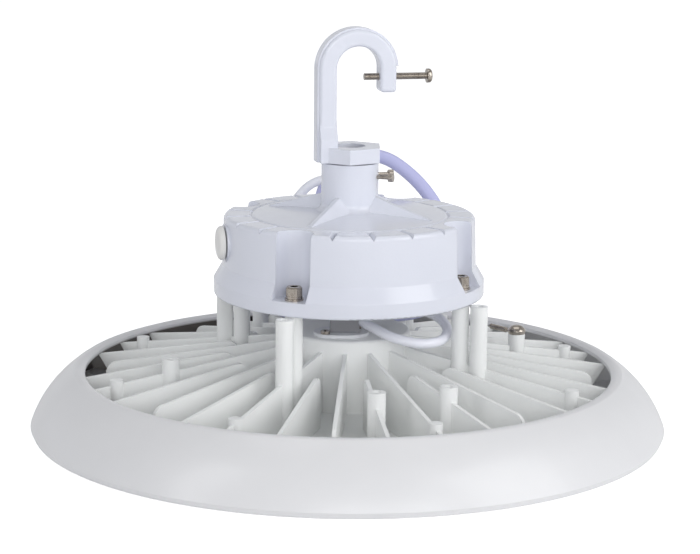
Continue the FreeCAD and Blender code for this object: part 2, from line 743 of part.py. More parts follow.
def make_driver_housing():
    body = new_body("driver_housing_casting")
    section = new_sketch(body, "XZ_Plane", "housing_profile")
    outline(section, [("0", "dim.flange_bottom"),
                      ("dim.flange_radius - dim.flange_round", "dim.flange_bottom"),
                      ("dim.flange_radius", "dim.flange_bottom + dim.flange_round"),
                      ("dim.flange_radius", "dim.flange_edge_top"),
                      ("dim.wall_radius", "dim.wall_foot_height"),
                      ("dim.wall_radius - dim.wall_draft", "dim.edge_height - dim.edge_round"),
                      ("dim.wall_radius - dim.wall_draft - dim.edge_round", "dim.edge_height"),
                      ("dim.pad_start", "dim.edge_height"),
                      ("dim.pad_groove_radius", "dim.edge_height - dim.pad_groove_depth"),
                      ("dim.shoulder_radius", "dim.shoulder_height"),
                      ("dim.stem_radius + dim.stem_fillet", "dim.roof_height"),
                      ("dim.stem_radius", "dim.roof_height + dim.stem_fillet"),
                      ("dim.stem_radius", "dim.stem_top"),
                      ("0", "dim.stem_top")],
            {1: "dim.flange_round", 5: "dim.edge_round", 10: "-dim.stem_fillet"})
    revolve(body, section, "housing_form")

    notches = []
    for step in (-1.5, -0.5, 0.5, 1.5):
        azimuth = "dim.post_azimuth + 45 + %s * dim.pad_pitch" % step
        spot = polar("dim.flange_radius", azimuth)
        plan = new_sketch(body, "XZ_Plane", "edge_notch_plan_%d" % len(notches),
                          (spot[0], "dim.edge_height", "-(%s)" % spot[1]), value(azimuth + " + 90"))
        outline(plan, [("-dim.notch_width", "dim.notch_depth"), ("0", "-dim.notch_depth"),
                       ("dim.notch_width", "dim.notch_depth")])
        notches.append(extrude(body, plan, "edge_notch_%d" % len(notches),
                               "dim.flange_radius - dim.pad_groove_radius", "Pocket"))
    around(body, notches, "edge_notches", 4)

    sections = []
    stations = [("dim.gusset_start", "dim.gusset_start_height", "dim.gusset_start_half"),
                ("dim.gusset_knee", "dim.gusset_knee_height", "dim.gusset_knee_half"),
                ("dim.gusset_tip", "dim.gusset_tip_height", "dim.gusset_tip_half")]
    azimuth = "dim.post_azimuth + 90"
    for index, (reach, ridge, half) in enumerate(stations):
        offset = ("(%s) * cos((%s) * 1 deg)" % (reach, azimuth), "0", "-(%s) * sin((%s) * 1 deg)" % (reach, azimuth))
        plan = new_sketch(body, "XZ_Plane", "gusset_section_%d" % index, offset, value(azimuth + " + 90"))
        base = "dim.gusset_tip_height - dim.housing_wall"
        outline(plan, [("-(%s)" % half, base), (half, base), ("dim.gusset_ridge_half", ridge),
                       ("-dim.gusset_ridge_half", ridge)])
        sections.append(plan)
    gusset = body.newObject("PartDesign::AdditiveLoft", "gusset")
    gusset.Profile = sections[0]
    gusset.Sections = sections[1:]
    gusset.Ruled = True
    body.Tip = gusset
    around(body, [gusset], "gussets", 4)

    top = "dim.stem_top"
    pocket = extrude(body, pocket_plan(body, "screw_pocket", "dim.screw_pocket_radius", top), "screw_pocket",
                     "%s - dim.screw_pocket_floor" % top, "Pocket")
    around(body, [pocket], "screw_pockets", 4)
    seat_depth = "dim.housing_wall * 4"
    wall_seat(body, "input_gland_seat", "dim.gland_across", "dim.gland_seat", "dim.gland_height", "90",
              "dim.gland_seat_radius", seat_depth)
    wall_seat(body, "dimming_gland_seat", "dim.dimming_across", "dim.dimming_seat", "dim.gland_height", "90",
              "dim.gland_seat_radius * dim.dimming_scale", seat_depth)
    plug_spot = polar("dim.plug_seat", "dim.plug_azimuth")
    wall_seat(body, "plug_seat_boss", plug_spot[0], plug_spot[1], "dim.plug_height", "dim.plug_azimuth",
              "dim.plug_seat_radius", seat_depth)

    hollow = new_body("driver_housing_hollow")
    section = new_sketch(hollow, "XZ_Plane", "hollow_profile")
    under = "dim.flange_bottom - dim.tap_extra"
    recess_top = "dim.flange_bottom + dim.cover_thickness + dim.cover_gasket_thickness"
    recess = "dim.cover_radius + dim.cover_side_gap"
    bore = "dim.nipple_radius + dim.thread_gap"
    inner = "dim.wall_radius - dim.wall_draft - dim.housing_wall"
    shelf_top = recess_top + " + dim.shelf_thickness"
    outline(section, [("0", under), (recess, under), (recess, recess_top), ("dim.shelf_bore", recess_top),
                      ("dim.shelf_bore", shelf_top), (inner, shelf_top), (inner, CEILING),
                      ("dim.nipple_bore", CEILING), ("dim.nipple_bore", "dim.nipple_low"),
                      (bore, "dim.nipple_low"), (bore, "dim.stem_top + dim.tap_extra"),
                      ("0", "dim.stem_top + dim.tap_extra")])
    revolve(hollow, section, "hollow_form")
    shield = pocket_plan(hollow, "pocket_wall", "dim.screw_pocket_radius + dim.housing_wall",
                         CEILING + " + dim.tap_extra")
    wall = extrude(hollow, shield, "pocket_wall", CEILING + " + dim.tap_extra - (%s)" % shelf_top, "Pocket")
    around(hollow, [wall], "pocket_walls", 4)
    quarter = azimuths_from("dim.post_azimuth", "90", 4)
    cap_spots = [polar("dim.post_inner_pitch", azimuth) for azimuth in quarter]
    round_posts(hollow, "cap_screw_hole", cap_spots, "dim.cap_screw_radius + dim.clearance_gap", under,
                "dim.screw_pocket_floor + dim.tap_extra")
    cover_spots = [polar("dim.cover_screw_pitch", azimuth) for azimuth in azimuths_from("0", "60", 6)]
    round_posts(hollow, "cover_tap", cover_spots, "dim.small_screw_radius + dim.thread_gap", under,
                recess_top + " + dim.cover_screw_bite + dim.tap_extra")
    reach = "dim.gland_shank_length * 3"
    wall_seat(hollow, "input_gland_hole", "dim.gland_across", "dim.gland_seat + dim.tap_extra", "dim.gland_height",
              "90", "dim.gland_shank_radius + dim.gland_shank_gap", reach)
    wall_seat(hollow, "dimming_gland_hole", "dim.dimming_across", "dim.dimming_seat + dim.tap_extra",
              "dim.gland_height", "90", "(dim.gland_shank_radius + dim.gland_shank_gap) * dim.dimming_scale", reach)
    plug_spot = polar("dim.plug_seat + dim.tap_extra", "dim.plug_azimuth")
    wall_seat(hollow, "plug_hole", plug_spot[0], plug_spot[1], "dim.plug_height", "dim.plug_azimuth",
              "dim.plug_shank_radius + dim.plug_shank_gap", "dim.plug_shank_length * 2")
    for index, side in enumerate("-+"):
        azimuth = "dim.lock_azimuth %s dim.lock_spread / 2" % side
        spot = polar("dim.lock_reach", azimuth)
        wall_seat(hollow, "lock_screw_hole_%d" % index, spot[0], spot[1], "dim.lock_height", azimuth,
                  "dim.lock_radius + dim.thread_gap", "dim.lock_reach - dim.nipple_bore")
    return cut("driver_housing", body, hollow)


# Stands a body built along +Z at a point, with its axis along a direction
def stand(body, base, direction):
    spot = Vector(*[value(coordinate) for coordinate in base])
    heading = Vector(*[value(coordinate) for coordinate in direction])
    body.Placement = Placement(spot, Rotation(Vector(0, 0, 1), heading))


def turned(label, corners, bows=None):
    body = new_body(label)
    sketch = new_sketch(body, "XZ_Plane", label + "_profile")
    outline(sketch, corners, bows)
    revolve(body, sketch, label + "_turning")
    return keep(body)


def hexagon(sketch, corner, turn=0.0):
    outline(sketch, [("(%s) * cos(%s * 1 deg)" % (corner, turn + 60 * index),
                      "(%s) * sin(%s * 1 deg)" % (corner, turn + 60 * index)) for index in range(6)])


def make_housing_fittings():
    start = "post_azimuth"
    floor = "dim.screw_pocket_floor"
    washer_top = floor + " + dim.flat_washer_thickness"
    seat = washer_top + " + dim.spring_washer_thickness"
    bore = "dim.cap_screw_radius + dim.tap_extra / 2"
    washers = new_body("flat_washers")
    section = new_sketch(washers, "XZ_Plane", "washer_profile", ("dim.post_inner_pitch", "0", "0"))
    outline(section, ring_outline(bore, "dim.flat_washer_radius", floor, washer_top))
    washer = revolve(washers, section, "washer")
    around(washers, [washer], "washer_row", 3, 180.0)
    washers.Placement = Placement(Vector(), Rotation(Vector(0, 0, 1), value("post_azimuth - 90")))
    keep(washers)

    springs = new_body("spring_washers")
    section = new_sketch(springs, "XZ_Plane", "spring_profile", ("dim.post_inner_pitch", "0", "0"))
    outline(section, ring_outline(bore, "dim.spring_washer_radius", washer_top, seat))
    ring = revolve(springs, section, "spring_ring")
    split = new_sketch(springs, "XY_Plane", "spring_split_plan", ("0", "0", seat))
    rectangle(split, "dim.post_inner_pitch - dim.spring_washer_split / 2", "0",
              "dim.post_inner_pitch + dim.spring_washer_split / 2", "dim.flat_washer_radius")
    gap = extrude(springs, split, "spring_split", "dim.spring_washer_thickness", "Pocket")
    around(springs, [ring, gap], "spring_row", 4)
    springs.Placement = Placement(Vector(), Rotation(Vector(0, 0, 1), value(start)))
    keep(springs)

    screws = new_body("cap_screws")
    section = new_sketch(screws, "XZ_Plane", "cap_screw_profile", ("dim.post_inner_pitch", seat, "0"))
    edge = "dim.cap_head_radius * 0.12"
    outline(section, [("0", "-dim.cap_screw_length"), ("dim.cap_screw_radius", "-dim.cap_screw_length"),
                      ("dim.cap_screw_radius", "0"), ("dim.cap_head_radius", "0"),
                      ("dim.cap_head_radius", "dim.cap_head_height - " + edge),
                      ("dim.cap_head_radius - " + edge, "dim.cap_head_height"), ("0", "dim.cap_head_height")])
    shank = revolve(screws, section, "cap_screw")
    key = new_sketch(screws, "XY_Plane", "cap_socket_plan",
                     ("dim.post_inner_pitch", "0", seat + " + dim.cap_head_height"))
    hexagon(key, "dim.cap_socket_radius")
    socket = extrude(screws, key, "cap_socket", "dim.cap_socket_depth", "Pocket")
    around(screws, [shank, socket], "cap_screw_row", 4)
    screws.Placement = Placement(Vector(), Rotation(Vector(0, 0, 1), value(start)))
    keep(screws)

    cover = new_body("housing_cover")
    section = new_sketch(cover, "XZ_Plane", "cover_profile", ("0", "dim.flange_bottom", "0"))
    outline(section, [("0", "0"), ("dim.cover_radius", "0"), ("dim.cover_radius", "dim.cover_thickness"),
                      ("0", "dim.cover_thickness")])
    revolve(cover, section, "cover_disc")
    spots = azimuths_from("0", "60", 6)
    holes = new_sketch(cover, "XY_Plane", "cover_hole_plan", ("0", "0", "dim.flange_bottom + dim.cover_thickness"))
    circles(holes, "dim.cover_screw_pitch", spots, "dim.small_screw_radius + dim.clearance_gap")
    circle(holes, "dim.outlet_across", "dim.outlet_forward", "dim.output_radius + dim.clearance_gap")
    extrude(cover, holes, "cover_holes", "dim.cover_thickness", "Pocket")
    keep(cover)
    gasket = new_body("cover_gasket")
    section = new_sketch(gasket, "XZ_Plane", "cover_gasket_profile",
                         ("0", "dim.flange_bottom + dim.cover_thickness", "0"))
    outline(section, ring_outline("dim.shelf_bore", "dim.cover_radius", "0", "dim.cover_gasket_thickness"))
    revolve(gasket, section, "cover_gasket_ring")
    holes = new_sketch(gasket, "XY_Plane", "cover_gasket_hole_plan",
                       ("0", "0", "dim.flange_bottom + dim.cover_thickness + dim.cover_gasket_thickness"))
    circles(holes, "dim.cover_screw_pitch", spots, "dim.small_screw_radius + dim.clearance_gap")
    extrude(gasket, holes, "cover_gasket_holes", "dim.cover_gasket_thickness", "Pocket")
    keep(gasket)
    corners, bows = screw_outline("dim.small_head_radius", "dim.small_head_height", "dim.small_screw_radius",
                                  "dim.cover_thickness + dim.cover_gasket_thickness + dim.cover_screw_bite", True)
    turned_group("cover_screws", corners, "dim.cover_screw_pitch", "dim.flange_bottom", "0",
                 "dim.cover_screw_count", bows)


# A rectangular block standing at a level
def block(label, low_x, low_y, high_x, high_y, level, height):
    body = new_body(label)
    plan = new_sketch(body, "XY_Plane", label + "_plan", ("0", "0", level))
    rectangle(plan, low_x, low_y, high_x, high_y)
    extrude(body, plan, label + "_block", height)
    return keep(body)


def make_inner_parts():
    floor = "dim.flange_bottom + dim.cover_thickness"
    half = "dim.driver_length / 2"
    deep = "dim.driver_width / 2"
    driver = block("driver_module", "-" + half, "-" + deep, half, deep, floor, "dim.driver_height")
    for index, side in enumerate(("-", "")):
        feet = new_sketch(driver, "XY_Plane", "driver_foot_plan_%d" % index, ("0", "0", floor))
        edge = "%sdim.driver_length / 2" % side
        inward = "%s(dim.driver_length / 2 - dim.driver_foot_length)" % side
        rectangle(feet, inward, "-" + deep + " - dim.driver_foot", edge, deep + " + dim.driver_foot")
        extrude(driver, feet, "driver_foot_%d" % index, "dim.driver_foot")
    block("terminal_block", "-dim.terminal_length / 2", "-dim.terminal_back - dim.terminal_width",
          "dim.terminal_length / 2", "-dim.terminal_back", floor, "dim.terminal_height")
    block("surge_protector", "-dim.surge_length / 2", "dim.surge_front",
          "dim.surge_length / 2", "dim.surge_front + dim.surge_width", floor, "dim.surge_height")


def make_gland(label, across, seat, scale, cable):
    hex_end = "dim.gland_hex_length * (%s)" % scale
    nut_end = hex_end + " + dim.gland_nut_length * (%s)" % scale
    nose_end = nut_end + " + dim.gland_nose_length * (%s)" % scale
    nut = "dim.gland_nut_radius * (%s)" % scale
    body = new_body(label)
    section = new_sketch(body, "XZ_Plane", label + "_profile")
    outline(section, [("0", "-dim.gland_shank_length * (%s)" % scale),
                      ("dim.gland_shank_radius * (%s)" % scale, "-dim.gland_shank_length * (%s)" % scale),
                      ("dim.gland_shank_radius * (%s)" % scale, "0"), (nut, "0"),
                      (nut, nut_end), ("dim.gland_nose_radius * (%s)" % scale, nose_end), ("0", nose_end)])
    revolve(body, section, label + "_turning")
    plan = new_sketch(body, "XY_Plane", label + "_hex_plan")
    hexagon(plan, "dim.gland_hex_radius * (%s) / cos(30 * 1 deg)" % scale)
    extrude(body, plan, label + "_hex", hex_end)
    mouth = new_sketch(body, "XY_Plane", label + "_bore_plan", ("0", "0", nose_end))
    circle(mouth, "0", "0", cable + " + dim.cable_gap")
    extrude(body, mouth, label + "_bore", "dim.gland_nose_length * (%s)" % scale, "Pocket")
    stand(body, (across, seat, "dim.gland_height"), ("0", "1", "0"))
    return keep(body)


def make_wall_fittings():
    make_gland("input_gland", "dim.gland_across", "dim.gland_seat", "1", "dim.input_radius")
    make_gland("dimming_gland", "dim.dimming_across", "dim.dimming_seat", "dim.dimming_scale", "dim.dimming_radius")
    outward = polar("1", "dim.plug_azimuth")
    seal_top = "dim.plug_seal_thickness"
    dome_top = seal_top + " + dim.plug_dome"
    plug = turned("side_plug", [("0", "-dim.plug_shank_length"), ("dim.plug_shank_radius", "-dim.plug_shank_length"),
                                ("dim.plug_shank_radius", seal_top), ("dim.plug_radius", seal_top),
                                ("dim.plug_radius", dome_top + " - dim.plug_round"),
                                ("dim.plug_radius - dim.plug_round", dome_top), ("0", dome_top)],
                  {4: "dim.plug_round"})
    seal = turned("plug_seal", ring_outline("dim.plug_shank_radius + dim.plug_shank_gap", "dim.plug_seal_radius",
                                            "0", seal_top))
    spot = polar("dim.plug_seat", "dim.plug_azimuth")
    for body in (plug, seal):
        stand(body, (spot[0], spot[1], "dim.plug_height"), (outward[0], outward[1], "0"))


def make_hook():
    body = new_body("hook")
    turn = value("hook_turn")
    inner_left = "dim.throat_across - dim.throat_radius"
    inner_right = "dim.throat_across + dim.throat_radius"
    back = "dim.bend_across - dim.back_bend_radius"
    front = "dim.bend_across + dim.front_bend_radius"
    base = "dim.collar_bottom"
    crown = "dim.throat_height + dim.throat_radius"
    shape = new_sketch(body, "XZ_Plane", "hook_outline", turn=turn)
    outline(shape, [(back, base), (inner_left, base), (inner_left, "dim.throat_height"),
                    ("dim.throat_across", crown), (inner_right, "dim.throat_height"),
                    (inner_right, "dim.tip_bottom + dim.tip_round"),
                    (inner_right + " + dim.tip_round", "dim.tip_bottom"),
                    (front + " - dim.tip_round", "dim.tip_bottom"), (front, "dim.tip_bottom + dim.tip_round"),
                    (front, "dim.hook_top - dim.front_bend_radius"), ("dim.bend_across", "dim.hook_top"),
                    (back, "dim.hook_top - dim.back_bend_radius")],
            {2: "-dim.throat_radius", 3: "-dim.throat_radius", 5: "dim.tip_round", 7: "dim.tip_round",
             9: "dim.front_bend_radius", 10: "dim.back_bend_radius"})
    bow = extrude(body, shape, "hook_bow", "dim.hook_thickness", midplane=True)
    doc.recompute()
    across_plane = Vector(math.sin(math.radians(turn)), -math.cos(math.radians(turn)), 0)
    cheeks = ["Face%d" % (index + 1) for index, face in enumerate(bow.Shape.Faces)
              if face.Surface.TypeId == "Part::GeomPlane" and abs(abs(face.normalAt(0, 0).dot(across_plane)) - 1) < 1e-6]
    rounding = body.newObject("PartDesign::Fillet", "hook_rounding")
    rounding.Base = (bow, cheeks)
    rounding.setExpression("Radius", "dim.hook_round")
    body.Tip = rounding

    rib = new_sketch(body, "XZ_Plane", "hook_rib_outline", turn=turn)
    outer = "dim.rib_height"
    inside = "dim.rib_embed"
    rise = "(dim.rib_end_height - dim.hook_top + dim.front_bend_radius)"
    end_out = "dim.bend_across + sqrt((dim.front_bend_radius + %s) ^ 2 - %s ^ 2)" % (outer, rise)
    end_in = "dim.bend_across + sqrt((dim.front_bend_radius - %s) ^ 2 - %s ^ 2)" % (inside, rise)
    outline(rib, [(back + " - " + outer, base), (back + " + " + inside, base),
                  (back + " + " + inside, "dim.hook_top - dim.back_bend_radius"),
                  ("dim.bend_across", "dim.hook_top - " + inside), (end_in, "dim.rib_end_height"),
                  (end_out, "dim.rib_end_height"), ("dim.bend_across", "dim.hook_top + " + outer),
                  (back + " - " + outer, "dim.hook_top - dim.back_bend_radius")],
            {2: "-dim.back_bend_radius - " + inside, 3: "-dim.front_bend_radius - " + inside,
             5: "dim.front_bend_radius + " + outer, 6: "dim.back_bend_radius + " + outer})
    extrude(body, rib, "hook_rib", "dim.rib_width", midplane=True)

    flare = new_sketch(body, "XZ_Plane", "arm_flare_outline",
                       ("(%s) * cos(%s * 1 deg)" % (back, turn), "0", "-(%s) * sin(%s * 1 deg)" % (back, turn)),
                       turn + 90)
    narrow = "dim.hook_thickness / 2 - dim.hook_round"
    outline(flare, [("-dim.arm_flare_half", base), ("dim.arm_flare_half", base),
                    ("dim.arm_flare_half", "dim.arm_flare_knee"), (narrow, "dim.arm_flare_height"),
                    ("-(%s)" % narrow, "dim.arm_flare_height"), ("-dim.arm_flare_half", "dim.arm_flare_knee")])
    extrude(body, flare, "arm_flare", "(%s) - (%s)" % (inner_left, back))

    collar = new_sketch(body, "XY_Plane", "collar_plan", ("0", "0", base))
    hexagon(collar, "dim.collar_corner", 30)
    extrude(body, collar, "collar", "dim.collar_height")
    through = new_sketch(body, "XY_Plane", "collar_bore_plan", ("0", "0", "%s + dim.collar_height * 2" % base))
    circle(through, "0", "0", "dim.collar_bore")
    extrude(body, through, "collar_bore", "dim.collar_height * 3", "Pocket")
    thread = new_sketch(body, "XY_Plane", "collar_thread_plan", ("0", "0", "%s + dim.nipple_bite" % base))
    circle(thread, "0", "0", "dim.nipple_radius + dim.thread_gap")
    extrude(body, thread, "collar_thread", "dim.nipple_bite * 2", "Pocket")
    direction = polar("1", "dim.hook_turn")
    start = polar(front + " + dim.rib_height * 2", "dim.hook_turn")
    wall_seat(body, "gate_hole", start[0], start[1], "dim.gate_height", "dim.hook_turn",
              "dim.gate_radius + dim.gate_running_gap", "%s - (%s) + dim.rib_height * 3" % (front, inner_right), "Pocket")
    keep(body)

    nipple = turned("hook_nipple", ring_outline("dim.nipple_bore", "dim.nipple_radius", "dim.nipple_low",
                                                base + " + dim.nipple_bite"))
    gate = new_body("gate_screw")
    section = new_sketch(gate, "XZ_Plane", "gate_profile")
    length = "dim.gate_length"
    edge = "dim.gate_radius * 0.3"
    outline(section, [("0", "0"), ("dim.gate_radius - " + edge, "0"), ("dim.gate_radius", edge),
                      ("dim.gate_radius", length), ("dim.gate_head_radius", length),
                      ("dim.gate_head_radius", length + " + dim.gate_head_height * 0.45"),
                      ("dim.gate_head_radius * 0.62", length + " + dim.gate_head_height"),
                      ("0", length + " + dim.gate_head_height")], {5: "dim.gate_head_height"})
    revolve(gate, section, "gate_turning")
    cross_slot(gate, "gate_slot", length + " + dim.gate_head_height")
    tip = polar("dim.gate_tip", "dim.hook_turn")
    stand(gate, (tip[0], tip[1], "dim.gate_height"), (direction[0], direction[1], "0"))
    keep(gate)


def make_lock_screws():
    lock = new_body("lock_screws")
    seat = "dim.lock_reach - dim.lock_head_height"
    tip = "dim.nipple_radius"
    for index, side in enumerate("-+"):
        azimuth = "dim.lock_azimuth %s dim.lock_spread / 2" % side
        for name, radius, reach, length in (("shank", "dim.lock_radius", tip, "%s - %s" % (seat, tip)),
                                            ("head", "dim.lock_head_radius", seat, "dim.lock_head_height")):
            spot = polar(reach, azimuth)
            plan = new_sketch(lock, "XZ_Plane", "lock_%s_plan_%d" % (name, index),
                              (spot[0], "dim.lock_height", "-(%s)" % spot[1]), value(azimuth + " + 90"))
            circle(plan, "0", "0", radius)
            extrude(lock, plan, "lock_%s_%d" % (name, index), length)
    keep(lock)


# Centre line of round bends through corner points, each bend as large as its shorter run allows
BEND_SHARE = 0.45


def route(name, corners):
    points = [Vector(*corner) for corner in corners]
    edges = []
    radii = []
    last = points[0]
    for before, corner, after in zip(points, points[1:], points[2:]):
        back = (before - corner).normalize()
        ahead = (after - corner).normalize()
        turn = math.pi - back.getAngle(ahead)
        reach = BEND_SHARE * min(before.distanceToPoint(corner), after.distanceToPoint(corner))
        radius = reach / math.tan(turn / 2)
        radii.append(radius)
        start = corner + back * reach
        finish = corner + ahead * reach
        inward = (back + ahead).normalize()
        centre = corner + inward * (radius / math.cos(turn / 2))
        edges.append(Part.makeLine(last, start))
        edges.append(Part.Arc(start, centre - inward * radius, finish).toShape())
        last = finish
    edges.append(Part.makeLine(last, points[-1]))
    wire = Part.Wire(edges)
    print(name, "length %.0f" % wire.Length, "bend radii", " ".join("%.1f" % radius for radius in radii))
    return wire


def tube(wire, radius):
    first = wire.OrderedEdges[0]
    start = first.valueAt(first.FirstParameter)
    heading = first.tangentAt(first.FirstParameter)
    if wire.OrderedVertexes[0].Point.distanceToPoint(start) > 1e-6:
        start = first.valueAt(first.LastParameter)
        heading = heading * -1
    ring = Part.Wire(Part.makeCircle(radius, start, heading))
    return wire.makePipeShell([ring], True, True)


def solid_piece(label, shapes):
    piece = doc.addObject("Part::Feature", label)
    piece.Shape = shapes[0] if len(shapes) == 1 else Part.makeCompound(shapes)
    piece.Label = label
    return keep(piece)


def make_cable(label, corners, radius_name):
    radius = value(radius_name)
    wire = route(label, corners)
    shape = tube(wire, radius)
    print(label, "volume against section times length %.4f" % (shape.Volume / (math.pi * radius ** 2 * wire.Length)))
    return solid_piece(label, [shape])


def make_coil(label, pitch, radius, turns):
    body = new_body(label)
    section = new_sketch(body, "XZ_Plane", label + "_profile")
    top = "%s * 2 * %s" % (radius, turns)
    outline(section, [("%s - %s" % (pitch, radius), radius), (pitch, "0"), ("%s + %s" % (pitch, radius), radius),
                      ("%s + %s" % (pitch, radius), "%s - %s" % (top, radius)), (pitch, top),
                      ("%s - %s" % (pitch, radius), "%s - %s" % (top, radius))],
            {0: radius, 1: radius, 3: radius, 4: radius})
    revolve(body, section, label + "_hank")
    lay_on_fins(body)
    return keep(body)


def lay_on_fins(body, turn=0.0):
    spot = Vector(value("coil_across"), value("coil_back"), value("coil_bottom"))
    tilt = Rotation(Vector(1, 0, 0), value("coil_tilt"))
    body.Placement = Placement(spot, tilt.multiply(Rotation(Vector(0, 0, 1), turn)))


def make_coils():
    make_coil("input_coil", "dim.coil_pitch_radius", "dim.input_radius", "dim.coil_turns")
    make_coil("dimming_coil", "dim.inner_coil_pitch_radius", "dim.dimming_radius", "dim.inner_coil_turns")
    ties = new_body("cable_ties")
    inner = "dim.inner_coil_pitch_radius - dim.dimming_radius - dim.tie_gap"
    outer = "dim.coil_pitch_radius + dim.input_radius + dim.tie_gap"
    top = "dim.input_radius * 2 * dim.coil_turns + dim.tie_gap"
    band = "dim.tie_thickness"
    plan = new_sketch(ties, "XZ_Plane", "tie_section")
    rectangle(plan, "%s - %s" % (inner, band), "-dim.tie_gap - " + band, "%s + %s" % (outer, band), "%s + %s" % (top, band))
    rectangle(plan, inner, "-dim.tie_gap", outer, top)
    tie = extrude(ties, plan, "tie", "dim.tie_width", midplane=True)
    around(ties, [tie], "tie_ring", 3)
    lay_on_fins(ties, value("tie_azimuth"))
    keep(ties)


# Bare single wires leaving the end of a coil
def make_leads(label, azimuth, pitch, level, count):
    radius = value("lead_radius")
    spread = value("lead_radius * 2 + cable_gap")
    heading = Rotation(Vector(0, 0, 1), azimuth)
    centre = Vector(value("coil_across"), value("coil_back"), 0)
    shapes = []
    start = value(pitch)
    middle = start + value("lead_length / 2")
    tip = start + value("lead_length")
    for index in range(count):
        side = (index - (count - 1) / 2) * spread
        local = [Vector(start, side, 0), Vector(middle, side, 0), Vector(tip, 2 * side, -value("lead_fall"))]
        points = [centre + heading.multVec(point) + Vector(0, 0, value(level)) for point in local]
        shapes.append(tube(route("%s %d" % (label, index + 1), points), radius))
    return solid_piece(label, shapes)


def make_cables():
    gland_end = value("gland_seat + gland_hex_length + gland_nut_length")
    small_end = value("dimming_seat + (gland_hex_length + gland_nut_length) * dimming_scale")
    height = value("gland_height")
    make_cable("input_cable", [(value("gland_across"), gland_end, height)] + INPUT_ROUTE, "input_radius")
    make_cable("dimming_cable", [(value("dimming_across"), small_end, height)] + DIMMING_ROUTE, "dimming_radius")
    outlet = (value("outlet_across + outlet_size / 2"), value("outlet_forward"), value("outlet_lead_height"))
    inlet = (value("seal_across + seal_length / 2"), value("entry_forward"), value("seal_lead_height"))
    make_cable("output_cable", [outlet] + OUTPUT_ROUTE + [inlet], "output_radius")
    make_leads("input_leads", value("input_lead_azimuth"), "coil_pitch_radius + input_radius",
               "coil_bottom + input_radius * 2", 3)
    make_leads("dimming_leads", value("dimming_lead_azimuth"), "dimming_radius - inner_coil_pitch_radius",
               "coil_bottom + dimming_radius", 2)


# A ring lug with its tail, lying flat and pointing along an azimuth
def make_lug(label, spot, level, bore, thickness, azimuth):
    body = new_body(label)
    plan = new_sketch(body, "XY_Plane", label + "_ring_plan")
    circle(plan, "0", "0", "dim.lug_ring_radius")
    extrude(body, plan, label + "_ring", thickness)
    tail = new_sketch(body, "XY_Plane", label + "_tail_plan")
    rectangle(tail, "0", "-dim.lug_tail_width / 2", "dim.ferrule_start", "dim.lug_tail_width / 2")
    extrude(body, tail, label + "_tail", thickness)
    hole = new_sketch(body, "XY_Plane", label + "_hole_plan", ("0", "0", thickness))
    circle(hole, "0", "0", bore)
    extrude(body, hole, label + "_hole", thickness, "Pocket")
    place = Vector(value(spot[0]), value(spot[1]), value(level))
    body.Placement = Placement(place, Rotation(Vector(0, 0, 1), value(azimuth)))
    return keep(body)


def make_safety_wire():
    washer = "dim.flat_washer_thickness"
    near = polar("dim.small_post_pitch", "dim.post_azimuth + dim.fin_pitch * 12")
    far = polar("dim.post_inner_pitch", "dim.post_azimuth + 180")
    ends = [("post_lug", near, "dim.small_post_top", "dim.accessory_tap_radius + dim.clearance_gap", "near_lug_turn"),
            ("housing_lug", far, "dim.screw_pocket_floor", "dim.cap_screw_radius + dim.tap_extra / 2",
             "post_azimuth + 180")]
    tips = []
    stubs = []
    sleeves = []
    for label, spot, level, bore, azimuth in ends:
        make_lug(label, spot, level, bore, washer, azimuth)
        turn = math.radians(value(azimuth))
        heading = Vector(math.cos(turn), math.sin(turn), 0)
        middle = Vector(value(spot[0]), value(spot[1]), value(level + " + " + washer + " / 2"))
        start = middle + heading * value("ferrule_start")
        sleeve = Part.makeCylinder(value("ferrule_radius"), value("ferrule_length"), start, heading)
        sleeves.append(sleeve)
        tips.append(tuple(start + heading * value("ferrule_length")))
        stubs.append(tuple(start + heading * value("ferrule_length + wire_stub")))
    solid_piece("ferrules", sleeves)
    make_cable("safety_wire", [tips[0], stubs[0]] + WIRE_ROUTE + [stubs[1], tips[1]], "wire_radius")
    shaft = "dim.accessory_tap_radius - dim.thread_gap"
    seat = "dim.small_post_top + " + washer
    screw = turned("post_lug_screw", [("0", "-dim.dome_screw_length"), (shaft, "-dim.dome_screw_length"), (shaft, "0"),
                                      ("dim.dome_radius", "0"), ("dim.dome_radius", "dim.dome_height * 0.25"),
                                      ("dim.dome_radius * 0.2", "dim.dome_height"), ("0", "dim.dome_height")],
                   {4: "dim.dome_radius"})
    stand(screw, (near[0], near[1], seat), ("0", "0", "1"))


